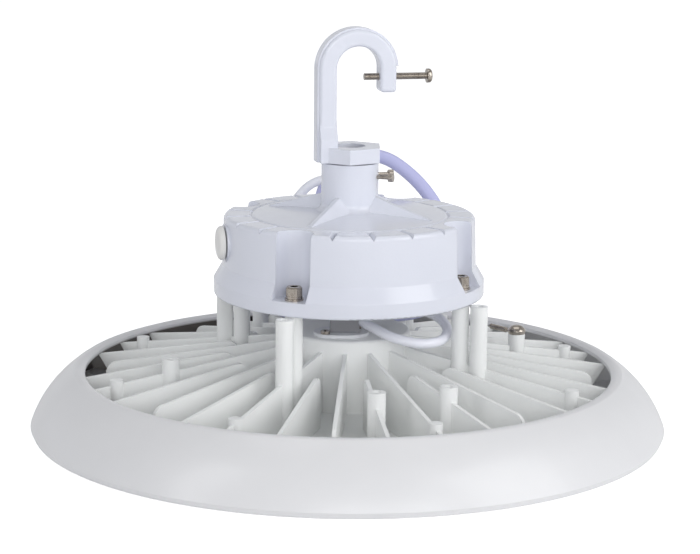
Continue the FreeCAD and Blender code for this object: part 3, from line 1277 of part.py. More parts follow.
def make_entry():
    left = "dim.entry_across - (dim.entry_length - dim.entry_width) / 2"
    right = "dim.entry_across + (dim.entry_length - dim.entry_width) / 2"
    half = "dim.entry_width / 2"
    low = "dim.entry_forward - " + half
    high = "dim.entry_forward + " + half
    plate = new_body("entry_plate")
    plan = new_sketch(plate, "XY_Plane", "entry_plan", ("0", "0", "dim.hub_top"))
    outline(plan, [(left, low), (right, low), (right + " + " + half, "dim.entry_forward"), (right, high),
                   (left, high), (left + " - " + half, "dim.entry_forward")], {1: half, 2: half, 4: half, 5: half})
    extrude(plate, plan, "entry_form", "dim.entry_thickness")
    top = "dim.hub_top + dim.entry_thickness"
    holes = new_sketch(plate, "XY_Plane", "entry_hole_plan", ("0", "0", top))
    for across, along in ENTRY_SCREW_SPOTS:
        circle(holes, across, along, "dim.small_screw_radius + dim.clearance_gap")
    circle(holes, "dim.entry_across", "dim.entry_forward", "dim.wireway_radius")
    extrude(plate, holes, "entry_holes", "dim.entry_thickness", "Pocket")
    keep(plate)
    seal = new_body("entry_seal")
    plan = new_sketch(seal, "XY_Plane", "seal_plan", ("0", "0", top))
    rectangle(plan, "dim.seal_across - dim.seal_length / 2", "dim.entry_forward - dim.seal_width / 2",
              "dim.seal_across + dim.seal_length / 2", "dim.entry_forward + dim.seal_width / 2")
    extrude(seal, plan, "seal_form", "dim.seal_height")
    keep(seal)
    screws = new_body("entry_screws")
    head_top = top + " + dim.small_head_height"
    for index, (across, along) in enumerate(ENTRY_SCREW_SPOTS):
        for name, radius, level, height in (
                ("shank", "dim.small_screw_radius", "dim.hub_top - dim.entry_screw_bite",
                 "dim.entry_screw_bite + dim.entry_thickness"),
                ("head", "dim.small_head_radius", top, "dim.small_head_height")):
            plan = new_sketch(screws, "XY_Plane", "entry_%s_plan_%d" % (name, index), ("0", "0", level))
            circle(plan, across, along, radius)
            extrude(screws, plan, "entry_%s_%d" % (name, index), height)
    for index, (across, along) in enumerate(ENTRY_SCREW_SPOTS):
        cross_slot(screws, "entry_slot_%d" % index, head_top, (across, along))
    keep(screws)
    outlet = new_body("outlet_fitting")
    plan = new_sketch(outlet, "XY_Plane", "outlet_plan", ("0", "0", "dim.flange_bottom - dim.outlet_height"))
    rectangle(plan, "dim.outlet_across - dim.outlet_size / 2", "dim.outlet_forward - dim.outlet_size / 2",
              "dim.outlet_across + dim.outlet_size / 2", "dim.outlet_forward + dim.outlet_size / 2")
    extrude(outlet, plan, "outlet_form", "dim.outlet_height")
    keep(outlet)


# Hand-laid corner points of the cables' routes
INPUT_ROUTE = [(-18, 108, 92.5), (-18.5, 125, 101.5), (-13.5, 135, 116), (-1, 137.5, 128.5), (19.5, 133.5, 131),
               (37, 126.5, 120), (50, 119.5, 106), (58.5, 110.5, 89), (61, 95, 71), (56.5, 76, 57), (43, 55, 51.5),
               (22, 43, 51.5), (-1, 40.5, 52), (-24, 42.5, 51.8), (-42.5, 54, 51.8), (-50, 73, 53.5),
               (-46.5, 92, 57), (-35, 107.5, 58.5)]
DIMMING_ROUTE = [(-41, 92, 92.5), (-37, 105.5, 97.5), (-31.5, 112.5, 108), (-21.5, 114, 117.5), (-6, 113.5, 120),
                 (7, 113, 112), (12.5, 113, 97.5), (15, 114, 82), (18, 115, 67), (20.3, 114.6, 53)]
OUTPUT_ROUTE = [(37, 1, 65.7), (49.5, -5.5, 62.3), (54.8, -17, 58), (51.2, -30.5, 54.5), (40, -39, 54.3),
                (24.7, -37.5, 57), (14, -27.5, 60.3)]
WIRE_ROUTE = [(72.5, 62.5, 50), (66, 72, 61.5), (59.3, 86, 74), (55, 93.8, 77.8), (47, 93.6, 82)]


def check_and_write():
    doc.recompute()
    faulty = [item.Name for item in doc.Objects if "Invalid" in item.State or "Error" in item.State]
    if faulty:
        raise RuntimeError("features in error: " + ", ".join(faulty))
    os.makedirs("parts", exist_ok=True)
    for piece in pieces:
        shape = piece.Shape
        if shape.isNull() or not shape.isValid() or not shape.Solids:
            raise RuntimeError("bad shape: " + piece.Label)
        shape.exportStep("parts/%s.step" % piece.Label)
        print("%s: %d solid(s), %.0f mm3" % (piece.Label, len(shape.Solids), shape.Volume))


make_skirt()
make_heat_sink()
make_skirt_screws()
make_light_engine()
make_driver_housing()
make_housing_fittings()
make_inner_parts()
make_wall_fittings()
make_hook()
make_lock_screws()
make_entry()
make_safety_wire()
make_coils()
make_cables()
check_and_write()
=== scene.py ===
# %% [markdown]
# A finned high bay light on white, seen from the front and a little above. It hangs in a workshop or a store, and
# here it stands on its rim for a catalogue picture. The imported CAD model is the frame. This script adds what a CAD
# model leaves out: the flexible cables, the screws' threads and knurls, the finishes, the light and the camera.

# %% Load the frame
import json
import math

import bpy
from mathutils import Matrix, Vector


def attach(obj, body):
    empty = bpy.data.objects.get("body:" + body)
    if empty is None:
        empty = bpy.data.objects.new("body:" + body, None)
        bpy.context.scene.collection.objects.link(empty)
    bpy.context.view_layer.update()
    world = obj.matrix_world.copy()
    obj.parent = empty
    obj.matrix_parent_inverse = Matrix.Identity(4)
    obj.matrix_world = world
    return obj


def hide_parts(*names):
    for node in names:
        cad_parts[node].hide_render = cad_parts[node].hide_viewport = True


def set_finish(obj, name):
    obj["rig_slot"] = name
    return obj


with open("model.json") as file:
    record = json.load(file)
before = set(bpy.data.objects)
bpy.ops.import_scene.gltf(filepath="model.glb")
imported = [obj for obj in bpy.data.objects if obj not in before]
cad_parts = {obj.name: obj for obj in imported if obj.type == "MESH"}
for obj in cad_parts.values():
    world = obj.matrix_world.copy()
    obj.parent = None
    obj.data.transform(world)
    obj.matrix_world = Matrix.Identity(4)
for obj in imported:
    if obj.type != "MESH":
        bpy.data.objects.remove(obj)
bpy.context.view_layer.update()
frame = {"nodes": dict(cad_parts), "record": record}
nodes = frame["nodes"]
MM = 0.001
print("CAD nodes:", len(nodes))

# %% [markdown]
# The photograph was taken from about 1.2 m in front and a third of a metre up. A camera can be placed by eye, or
# solved from points whose place on the object is known. It was solved from such points. The photograph leans by
# half a degree, so the camera does too.

# %% Camera
DISTANCE = 1200
HEIGHT = 333
AIM_OFFSET = 0.58
PITCH = math.radians(11.776)
ROLL = math.radians(-0.5638)
YAW = AIM_OFFSET / DISTANCE
FOCAL_PX = 2228.9
WIDTH_PX = 700
SENSOR = 36.0


def make_camera():
    forward = Vector((math.sin(YAW) * math.cos(PITCH), math.cos(YAW) * math.cos(PITCH), -math.sin(PITCH)))
    level = forward.cross(Vector((0, 0, 1))).normalized()
    upright = level.cross(forward)
    right = level * math.cos(ROLL) - upright * math.sin(ROLL)
    up = level * math.sin(ROLL) + upright * math.cos(ROLL)
    data = bpy.data.cameras.new("camera")
    data.sensor_width = SENSOR
    data.lens = FOCAL_PX / WIDTH_PX * SENSOR
    data.clip_start = 0.01
    data.clip_end = 50
    camera = bpy.data.objects.new("camera", data)
    bpy.context.collection.objects.link(camera)
    turn = Matrix((right, up, -forward)).transposed().to_4x4()
    camera.matrix_world = Matrix.Translation(Vector((0, -DISTANCE, HEIGHT)) * MM) @ turn
    bpy.context.scene.camera = camera
    return camera


camera = make_camera()
print("camera lens %.1f mm" % camera.data.lens)

# %% [markdown]
# On the real lamp two flexible cables leave glands at the back of the housing. They arch up behind the stem, come
# down beside the housing and end in two hanks, one inside the other, that three nylon ties hold on the fins.
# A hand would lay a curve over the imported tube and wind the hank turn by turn, and a simulation could let the
# cable fall. A drawn line is chosen because its route is known: each cable is one NURBS line with the corner
# points of its route, then twelve points for each turn of its hank.

# %% Points of a hank
COIL_CENTRE = Vector((0, 101.5, 38.9))
COIL_TILT = math.radians(-8.5)
POINTS_PER_TURN = 12
LAYERS = 3
# A NURBS line of order 3 runs inside its points. This share brings a turn's mean radius back to the one asked for.
LINE_SHARE = 0.993


def on_coil(radius, angle, level):
    flat = Vector((radius * math.cos(angle), radius * math.sin(angle), level))
    return COIL_CENTRE + Matrix.Rotation(COIL_TILT, 3, "X") @ flat


def coil_points(radius, tube, start_angle, entry, lift):
    """A part turn (entry) comes in from above by lift, then two full turns step down by a tube's width each."""
    top = (2 * LAYERS - 1) * tube
    reach = radius / math.cos(math.pi / POINTS_PER_TURN) * LINE_SHARE
    steps = round((LAYERS - 1 + entry) * POINTS_PER_TURN)
    points = []
    for step in range(steps + 1):
        turns = step / POINTS_PER_TURN
        level = top - 2 * tube * max(0.0, turns - entry) + lift * max(0.0, 1 - turns / entry) ** 2
        points.append(on_coil(reach, start_angle - 2 * math.pi * turns, level))
    return points


print("hank centre:", tuple(COIL_CENTRE))

# %% [markdown]
# A sheath is round and even, so the line gets a round bevel and closed ends. The tube's radius is carried by the
# points and not by the bevel, because Blender counts the points' radius in the curve's own size.

# %% Cords
SUPPLY_RADIUS = 4.1
DIMMING_RADIUS = 2.75
INPUT_ROUTE = [(-18, 87.5, 92.5), (-18, 108, 92.5), (-18.5, 125, 101.5), (-13.5, 135, 116), (-1, 137.5, 128.5),
               (19.5, 133.5, 131), (37, 126.5, 120), (50, 119.5, 106), (58.5, 110.5, 89), (61, 95, 71),
               (56.5, 76, 57), (43, 55, 51.5), (22, 43, 51.5), (-1, 40.5, 52), (-24, 42.5, 51.8),
               (-42.5, 54, 52.5), (-50, 73, 56), (-46.5, 92, 62)]
DIMMING_ROUTE = [(-41, 77.4, 92.5), (-41, 92, 92.5), (-37, 105.5, 97.5), (-31.5, 112.5, 108),
                 (-21.5, 114, 117.5), (-6, 113.5, 120), (7, 113, 112), (12.5, 113, 97.5), (15, 114, 82),
                 (18, 115, 67)]


def make_cord(name, points, radius):
    curve = bpy.data.curves.new(name, "CURVE")
    curve.dimensions = "3D"
    curve.bevel_depth = 1.0
    curve.bevel_resolution = 6
    curve.resolution_u = 8
    curve.use_fill_caps = True
    spline = curve.splines.new("NURBS")
    spline.points.add(len(points) - 1)
    for spot, point in zip(spline.points, points):
        place = Vector(point) * MM
        spot.co = (place.x, place.y, place.z, 1)
        spot.radius = radius * MM
    spline.order_u = 3
    spline.use_endpoint_u = True
    cord = bpy.data.objects.new(name, curve)
    bpy.context.collection.objects.link(cord)
    return cord


def cord_length(cord):
    thread = bpy.data.objects.new("thread", cord.data.copy())
    thread.data.bevel_depth = 0
    line = bpy.data.meshes.new_from_object(thread)
    ends = [[line.vertices[index].co for index in edge.vertices] for edge in line.edges]
    total = sum((start - end).length for start, end in ends)
    bpy.data.meshes.remove(line)
    bpy.data.curves.remove(thread.data)
    return total


supply_points = INPUT_ROUTE + coil_points(radius=35.5, tube=SUPPLY_RADIUS, start_angle=math.radians(170),
                                          entry=5 / 12, lift=9.5)
dimming_points = DIMMING_ROUTE + coil_points(radius=25.6, tube=DIMMING_RADIUS, start_angle=math.radians(33),
                                             entry=3 / 12, lift=5.0)
supply_cord = make_cord("supply_cord", supply_points, SUPPLY_RADIUS)
dimming_cord = make_cord("dimming_cord", dimming_points, DIMMING_RADIUS)
supply_length = cord_length(supply_cord)
dimming_length = cord_length(dimming_cord)
print("supply cord %.2f m, dimming cord %.2f m" % (supply_length, dimming_length))

# %% [markdown]
# The metal and plastic pieces that follow are shaped as by hand, in edit mode. An operator acts on all that is
# selected, so everything is deselected first, and faces are then picked by their place or their normal. What
# repeats is shaped once, and each copy gets a mesh of its own.

# %% Modelling helpers
# Only an end face has its centre past this share of the half length.
END_SHARE = 0.999
# A face looks up or down past this height of its normal, and aside below that one.
STEEP = 0.9
LEVEL = 0.5


def deselect():
    if bpy.context.mode != "OBJECT":
        bpy.ops.object.mode_set(mode="OBJECT")
    bpy.ops.object.select_all(action="DESELECT")


def start_picking(kind):
    bpy.ops.object.mode_set(mode="EDIT")
    bpy.ops.mesh.select_mode(type=kind)
    bpy.ops.mesh.select_all(action="DESELECT")
    bpy.ops.object.mode_set(mode="OBJECT")


def pick_faces(obj, test):
    start_picking("FACE")
    for face in obj.data.polygons:
        face.select = test(face)
    bpy.ops.object.mode_set(mode="EDIT")


def looks_up(face):
    return face.normal.z > STEEP


def looks_down(face):
    return face.normal.z < -STEEP


def looks_aside(face):
    return abs(face.normal.z) < LEVEL


def draw_out(rise, share=1.0):
    """Pulls the picked faces along Z, then widens or narrows them about their middle."""
    bpy.ops.mesh.extrude_region_move(TRANSFORM_OT_translate={"value": (0, 0, rise * MM)})
    bpy.ops.transform.resize(value=(share, share, 1))


def to_origin(obj, matrix):
    bpy.ops.object.mode_set(mode="OBJECT")
    obj.data.transform(matrix @ obj.matrix_world)
    obj.matrix_world = Matrix.Identity(4)


def own_copy(obj):
    copy = obj.copy()
    copy.data = obj.data.copy()
    bpy.context.collection.objects.link(copy)
    return copy


def join_parts(parts, name):
    deselect()
    for part in parts:
        part.select_set(True)
    bpy.context.view_layer.objects.active = parts[0]
    bpy.ops.object.join()
    parts[0].name = name
    return parts[0]


print("helpers ready")

# %% [markdown]
# The sheath is stripped at the end of each hank, and the cores stand out of it, three for the supply and two for
# dimming. A core is drawn from a cylinder: its far end is set in to the bare strand and pulled out to length.
# One core is shaped and the others are copies, fanned out a little so that they don't touch.

# %% Cores at the cables' ends
CORE_RADIUS = 1.1
CORE_LENGTH = 17.0
CORE_INSULATION = 0.45
CORE_SPACING = 2.25
CORE_ROOT = 1.5
CORE_FAN = -0.07
STRAND_LENGTH = 5.0


def make_core():
    deselect()
    bpy.ops.mesh.primitive_cylinder_add(vertices=16, radius=CORE_RADIUS * MM, depth=CORE_LENGTH * MM,
                                        location=(0, 0, CORE_LENGTH / 2 * MM))
    core = bpy.context.object
    core.name = "core"
    end = CORE_LENGTH / 2 * MM
    pick_faces(core, lambda face: face.center.z > end * END_SHARE)
    bpy.ops.mesh.inset(thickness=CORE_INSULATION * MM)
    draw_out(STRAND_LENGTH)
    to_origin(core, Matrix.Identity(4))
    bpy.ops.object.shade_smooth_by_angle(angle=math.radians(40))
    return core


def place_cores(core, points, count, name):
    tip = Vector(points[-1])
    heading = (tip - Vector(points[-2])).normalized()
    side = heading.cross(Vector((0, 0, 1))).normalized()
    turn = Vector((0, 0, 1)).rotation_difference(heading).to_matrix().to_4x4()
    parts = []
    for index in range(count):
        shift = (index - (count - 1) / 2) * CORE_SPACING * CORE_RADIUS
        fan = Matrix.Rotation(CORE_FAN * shift, 4, heading.cross(side))
        place = Matrix.Translation((tip - heading * CORE_ROOT + side * shift) * MM)
        parts.append(own_copy(core))
        parts[-1].data.transform(place @ fan @ turn)
    return join_parts(parts, name)


core = make_core()
supply_cores = place_cores(core, supply_points, 3, "supply_cores")
dimming_cores = place_cores(core, dimming_points, 2, "dimming_cores")
bpy.data.objects.remove(core)
for cores, node in ((supply_cores, "input_leads"), (dimming_cores, "dimming_leads")):
    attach(cores, "lamp")
    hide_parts(node)
    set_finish(cores, "lead_insulation")
print("cores:", len(supply_cores.data.polygons), "and", len(dimming_cores.data.polygons), "faces")

# %% [markdown]
# Each cord stands for the tube and the hank of the CAD model, so both are replaced by it. What the cord is made of
# is written down too.

# %% What the cords stand for
cord_nodes = ((supply_cord, "input_cable", "input_coil"), (dimming_cord, "dimming_cable", "dimming_coil"))
for cord, tube, coil in cord_nodes:
    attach(cord, "lamp")
    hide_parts(tube, coil)
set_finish(supply_cord, "lavender_sheath")
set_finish(dimming_cord, "white_sheath")
print("cords replace:", ", ".join(tube + " and " + coil for _, tube, coil in cord_nodes))

# %% [markdown]
# The gate screw is an M4 machine screw that closes the hook's mouth, and its turned thread shows in the gap. A
# thread could be swept along a helix, but at 1.9 pixels to the millimetre rings look the same and close cleanly.
# It starts as a plain rod. Cuts are made all along it and every third ring is drawn in to the thread's root. The
# head is pulled out of the rod's end, widened, and rounded off in three steps.

# %% Threaded gate screw
HOOK_TURN = math.radians(13)
GATE_REACH = 7.2
GATE_LEVEL = 193.2
GATE_TIP = Vector((GATE_REACH * math.cos(HOOK_TURN), GATE_REACH * math.sin(HOOK_TURN), GATE_LEVEL)) * MM
GATE_RADIUS = 2.0
GATE_LENGTH = 35.0
RINGS_PER_THREAD = 3
THREADS = 50
THREAD_ROOT = 0.81
HEAD_RADIUS = 3.9
# Each step of the head: how far it rises, and its width as a share of the step below
HEAD_STEPS = ((0.02, HEAD_RADIUS / GATE_RADIUS), (1.5, 1.0), (0.66, 0.93), (0.48, 0.84), (0.24, 0.72))
CROWN_RING = 0.6


def pick_long_edges(obj, length):
    start_picking("EDGE")
    for edge in obj.data.edges:
        low, high = (obj.data.vertices[index].co.z for index in edge.vertices)
        edge.select = abs(high - low) > length
    bpy.ops.object.mode_set(mode="EDIT")


def pick_points(obj, test):
    start_picking("VERT")
    for vertex in obj.data.vertices:
        vertex.select = test(vertex.co)
    bpy.ops.object.mode_set(mode="EDIT")


def make_gate_screw():
    deselect()
    bpy.ops.mesh.primitive_cylinder_add(vertices=24, radius=GATE_RADIUS * MM, depth=GATE_LENGTH * MM)
    screw = bpy.context.object
    screw.name = "gate_screw_threaded"
    half = GATE_LENGTH / 2 * MM
    cuts = THREADS * RINGS_PER_THREAD
    step = GATE_LENGTH * MM / (cuts + 1)
    pick_long_edges(screw, half)
    bpy.ops.mesh.subdivide(number_cuts=cuts)
    pick_points(screw, lambda co: round((co.z + half) / step) % RINGS_PER_THREAD == 0 and co.z < half * END_SHARE)
    bpy.ops.transform.resize(value=(THREAD_ROOT, THREAD_ROOT, 1))
    pick_faces(screw, lambda face: face.center.z > half * END_SHARE)
    for rise, share in HEAD_STEPS:
        draw_out(rise, share)
    bpy.ops.mesh.inset(thickness=CROWN_RING * MM)
    bpy.ops.mesh.select_all(action="SELECT")
    bpy.ops.mesh.normals_make_consistent(inside=False)
    direction = Vector((math.cos(HOOK_TURN), math.sin(HOOK_TURN), 0))
    turn = Vector((0, 0, 1)).rotation_difference(direction).to_matrix().to_4x4()
    to_origin(screw, Matrix.Translation(GATE_TIP + direction * half) @ turn)
    bpy.ops.object.shade_smooth_by_angle(angle=math.radians(38))
    return screw


gate_screw = make_gate_screw()
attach(gate_screw, "gate")
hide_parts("gate_screw")
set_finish(gate_screw, "nickel")
print("gate screw:", len(gate_screw.data.polygons), "faces")

# %% [markdown]
# Four socket head cap screws hold the housing on its posts, down in the corner pockets. Their heads are knurled
# for the fingers and have a hexagonal socket. A bump map could fake the knurl, but the heads catch the light at
# their outline, so it is shaped. A head starts as a round blank: each side face is set in a little, the top is
# drawn up to a chamfer and the shank is drawn down. A boolean with a six-sided key cuts the socket.

# %% Cap screw
CAP_RADIUS = 4.25
CAP_HEIGHT = 5.0
CAP_SEAT = 85.1
CAP_SHANK = 2.5
CAP_LENGTH = 20.0
KNURLS = 36
KNURL_DEPTH = 0.16
CHAMFER = 0.7
CHAMFER_SHARE = 0.86
SOCKET_RADIUS = 2.3
SOCKET_DEPTH = 2.6


def cut_socket(screw, top):
    deselect()
    bpy.ops.mesh.primitive_cylinder_add(vertices=6, radius=SOCKET_RADIUS * MM, depth=SOCKET_DEPTH * 2 * MM,
                                        location=(0, 0, top))
    key = bpy.context.object
    deselect()
    screw.select_set(True)
    bpy.context.view_layer.objects.active = screw
    cutter = screw.modifiers.new("socket", "BOOLEAN")
    cutter.operation = "DIFFERENCE"
    cutter.solver = "EXACT"
    cutter.object = key
    bpy.ops.object.modifier_apply(modifier=cutter.name)
    bpy.data.objects.remove(key)


def make_cap_screw():
    deselect()
    side = (CAP_HEIGHT - CHAMFER) * MM
    bpy.ops.mesh.primitive_cylinder_add(vertices=KNURLS, radius=CAP_RADIUS * MM, depth=side)
    screw = bpy.context.object
    pick_faces(screw, looks_aside)
    bpy.ops.mesh.inset(thickness=KNURL_DEPTH * MM, depth=-KNURL_DEPTH * MM, use_individual=True)
    pick_faces(screw, looks_up)
    draw_out(CHAMFER, CHAMFER_SHARE)
    pick_faces(screw, looks_down)
    bpy.ops.mesh.inset(thickness=(CAP_RADIUS - CAP_SHANK) * MM)
    draw_out(-CAP_LENGTH)
    cut_socket(screw, side / 2 + CHAMFER * MM)
    bpy.ops.object.shade_smooth_by_angle(angle=math.radians(28))
    screw.data.transform(Matrix.Translation((0, 0, CAP_SEAT * MM + side / 2)))
    return screw


cap_screw = make_cap_screw()
print("one cap screw:", len(cap_screw.data.polygons), "faces")

# %% [markdown]
# The four screws are copies, a quarter turn apart about the lamp's axis. Each is also turned about its own axis by
# another angle, because nobody tightens four screws to the same mark.

# %% Four cap screws
CAP_PITCH = 66.7
POST_AZIMUTH = -115.4
OWN_TURN = 3


def place_cap_screws(model):
    copies = []
    for quarter in range(4):
        angle = math.radians(POST_AZIMUTH + 90 * quarter)
        spot = Vector((math.cos(angle), math.sin(angle), 0)) * CAP_PITCH * MM
        copies.append(own_copy(model))
        copies[-1].data.transform(Matrix.Translation(spot) @ Matrix.Rotation(angle * OWN_TURN, 4, "Z"))
    bpy.data.objects.remove(model)
    return join_parts(copies, "cap_screws_knurled")


cap_screws = place_cap_screws(cap_screw)
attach(cap_screws, "lamp")
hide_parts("cap_screws")
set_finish(cap_screws, "nickel")
print("cap screws:", len(cap_screws.data.polygons), "faces")

# %% [markdown]
# The finishes come next. Every one of them is worked out from the place on the object, with no picture. These few
# helpers add a node, join two sockets, and do one sum each, so that a material reads like a recipe.

# %% Node helpers


def new_group(name, inputs, outputs):
    tree = bpy.data.node_groups.new(name, "ShaderNodeTree")
    for label, kind, value in inputs:
        socket = tree.interface.new_socket(label, in_out="INPUT", socket_type=kind)
        socket.default_value = value
    for label, kind in outputs:
        tree.interface.new_socket(label, in_out="OUTPUT", socket_type=kind)
    return tree, tree.nodes.new("NodeGroupInput"), tree.nodes.new("NodeGroupOutput")


def add(tree, kind, **settings):
    node = tree.nodes.new(kind)
    for key, value in settings.items():
        setattr(node, key, value)
    return node


def join(tree, source, target):
    tree.links.new(source, target)


def feed(tree, item, target):
    """An item is a socket to join, or a plain value to set."""
    if hasattr(item, "is_linked"):
        join(tree, item, target)
    else:
        target.default_value = item


def object_place(tree):
    return add(tree, "ShaderNodeTexCoord").outputs["Object"]


def noise(tree, vector, scale, detail=3.0):
    node = add(tree, "ShaderNodeTexNoise")
    feed(tree, detail, node.inputs["Detail"])
    feed(tree, scale, node.inputs["Scale"])
    feed(tree, vector, node.inputs["Vector"])
    return node.outputs["Fac"]


def remap(tree, value, low, high, to_low, to_high):
    node = add(tree, "ShaderNodeMapRange")
    for name, number in (("From Min", low), ("From Max", high), ("To Min", to_low), ("To Max", to_high)):
        node.inputs[name].default_value = number
    join(tree, value, node.inputs["Value"])
    return node.outputs["Result"]


def mix(tree, factor, first, second):
    # A Mix node has a socket of each kind: 0 is the factor, 6 and 7 are the colours, output 2 the mixed colour.
    node = add(tree, "ShaderNodeMix", data_type="RGBA")
    for number, item in ((0, factor), (6, first), (7, second)):
        feed(tree, item, node.inputs[number])
    return node.outputs[2]


def maths(tree, operation, first, second):
    node = add(tree, "ShaderNodeMath", operation=operation)
    feed(tree, first, node.inputs[0])
    feed(tree, second, node.inputs[1])
    return node.outputs[0]


def bump(tree, height, strength, distance, normal):
    node = add(tree, "ShaderNodeBump")
    feed(tree, strength, node.inputs["Strength"])
    feed(tree, distance, node.inputs["Distance"])
    join(tree, height, node.inputs["Height"])
    join(tree, normal, node.inputs["Normal"])
    return node.outputs["Normal"]


def rounded_normal(tree, radius, samples):
    node = add(tree, "ShaderNodeBevel", samples=samples)
    feed(tree, radius, node.inputs["Radius"])
    return node.outputs["Normal"]


print("node helpers ready")

# %% [markdown]
# The castings are painted with baked powder. Close up such a skin has a fine orange peel, a slow ripple and soft
# edges, and here and there a speck or a little dust. A scanned texture would show them, but these also fit every
# other piece and need no file. They live in one node group that many materials share. It gives only colours, a
# gloss mask and a normal, and the shader itself stays in each material.

# %% Skin of castings and mouldings
RIPPLE_SCALE = 140.0
RIPPLE_SHARE = 1.4
CLOUD_SCALE = 22.0
SPECK_SCALE = 520.0
# Where in the noise the dust and the specks start and are full, and how much of the dirt's colour they take on
SOIL_RANGE = (0.42, 0.72)
SOIL_MOST = 0.35
SPECK_RANGE = (0.70, 0.76)
SPECK_MOST = 0.25
SKIN_RELIEF = 0.0004


def make_cast_skin():
    tree, start, end = new_group(
        "cast_skin",
        [("Colour", "NodeSocketColor", (0.8, 0.8, 0.8, 1)), ("Dirt", "NodeSocketColor", (0.5, 0.5, 0.5, 1)),
         ("Grain", "NodeSocketFloat", 900.0), ("Depth", "NodeSocketFloat", 0.1),
         ("Rounding", "NodeSocketFloat", 0.0005)],
        [("Colour", "NodeSocketColor"), ("Gloss", "NodeSocketFloat"), ("Normal", "NodeSocketVector")])
    place = object_place(tree)
    peel = noise(tree, place, start.outputs["Grain"], 2.0)
    ripple = noise(tree, place, RIPPLE_SCALE, 2.0)
    cloud = noise(tree, place, CLOUD_SCALE)
    relief = maths(tree, "ADD", peel, maths(tree, "MULTIPLY", ripple, RIPPLE_SHARE))
    edges = rounded_normal(tree, start.outputs["Rounding"], 6)
    normal = bump(tree, relief, start.outputs["Depth"], SKIN_RELIEF, edges)
    soil = remap(tree, cloud, *SOIL_RANGE, 0.0, SOIL_MOST)
    specks = remap(tree, noise(tree, place, SPECK_SCALE, 4.0), *SPECK_RANGE, 0.0, SPECK_MOST)
    dirt = maths(tree, "MAXIMUM", soil, specks)
    join(tree, mix(tree, dirt, start.outputs["Colour"], start.outputs["Dirt"]), end.inputs["Colour"])
    join(tree, cloud, end.inputs["Gloss"])
    join(tree, normal, end.inputs["Normal"])
    return tree


cast_skin = make_cast_skin()
print("cast skin:", len(cast_skin.nodes), "nodes")

# %% [markdown]
# Screws and washers are turned or rolled and then plated with nickel. The plate is bright with darker stains
# where it was handled, and tool marks too fine to see one by one break up its mirror.

# %% Skin of turned metal
STAIN_SCALE = 260.0
STAIN_RANGE = (0.5, 0.75)
STAIN_MOST = 0.6
TURNED_ROUNDING = 0.0003
TURNED_STRENGTH = 0.12
TURNED_RELIEF = 0.0002


def make_turned_metal():
    tree, start, end = new_group(
        "turned_metal",
        [("Colour", "NodeSocketColor", (0.7, 0.7, 0.7, 1)), ("Tarnish", "NodeSocketColor", (0.3, 0.25, 0.2, 1)),
         ("Grain", "NodeSocketFloat", 1400.0)],
        [("Colour", "NodeSocketColor"), ("Gloss", "NodeSocketFloat"), ("Normal", "NodeSocketVector")])
    place = object_place(tree)
    fine = noise(tree, place, start.outputs["Grain"])
    broad = noise(tree, place, STAIN_SCALE)
    normal = bump(tree, fine, TURNED_STRENGTH, TURNED_RELIEF, rounded_normal(tree, TURNED_ROUNDING, 4))
    stain = remap(tree, broad, *STAIN_RANGE, 0.0, STAIN_MOST)
    join(tree, mix(tree, stain, start.outputs["Colour"], start.outputs["Tarnish"]), end.inputs["Colour"])
    join(tree, broad, end.inputs["Gloss"])
    join(tree, normal, end.inputs["Normal"])
    return tree


turned_metal = make_turned_metal()
print("turned metal:", len(turned_metal.nodes), "nodes")

# %% [markdown]
# A finish is a Principled shader fed by one of the two groups. Its colours, grain and gloss are its own, and the
# group's mask moves the roughness between the two ends of the gloss, because no real surface is evenly shiny.

# %% Material builders
GLOSS_MASK = (0.3, 0.7)
COAT_ROUGHNESS = 0.08


def skinned_material(name, group, settings, gloss):
    material = bpy.data.materials.new(name)
    material.use_nodes = True
    tree = material.node_tree
    shader = tree.nodes["Principled BSDF"]
    skin = tree.nodes.new("ShaderNodeGroup")
    skin.node_tree = group
    for label, value in settings.items():
        skin.inputs[label].default_value = value
    join(tree, skin.outputs["Colour"], shader.inputs["Base Color"])
    join(tree, remap(tree, skin.outputs["Gloss"], *GLOSS_MASK, *gloss), shader.inputs["Roughness"])
    join(tree, skin.outputs["Normal"], shader.inputs["Normal"])
    return material, tree, shader


def cast_material(name, colour, dirt, gloss=(0.2, 0.3), grain=900.0, depth=0.1, rounding=0.0005, coat=0.0):
    settings = {"Colour": (*colour, 1), "Dirt": (*dirt, 1), "Grain": grain, "Depth": depth, "Rounding": rounding}
    material, _, shader = skinned_material(name, cast_skin, settings, gloss)
    shader.inputs["Coat Weight"].default_value = coat
    shader.inputs["Coat Roughness"].default_value = COAT_ROUGHNESS
    return material


def metal_material(name, colour, tarnish, gloss=(0.18, 0.34)):
    settings = {"Colour": (*colour, 1), "Tarnish": (*tarnish, 1), "Grain": 1400.0}
    material, _, shader = skinned_material(name, turned_metal, settings, gloss)
    shader.inputs["Metallic"].default_value = 1.0
    return material


FINISH = {}
print("builders ready")

# %% [markdown]
# Heat sink and housing wear two whites. The fins have a dull warm white that doesn't hinder the heat, and the
# housing a harder, glossier one with a blue cast.

# %% White castings
FINISH["fin_white"] = cast_material("fin_powder", (0.93, 0.94, 0.93), (0.87, 0.88, 0.86), gloss=(0.34, 0.5),
                                    grain=1100.0, depth=0.16, rounding=0.0006)
FINISH["housing_white"] = cast_material("housing_enamel", (0.76, 0.78, 0.86), (0.70, 0.72, 0.80),
                                        gloss=(0.14, 0.24), grain=800.0, depth=0.09, rounding=0.0008, coat=0.3)
print("white castings:", len(FINISH))
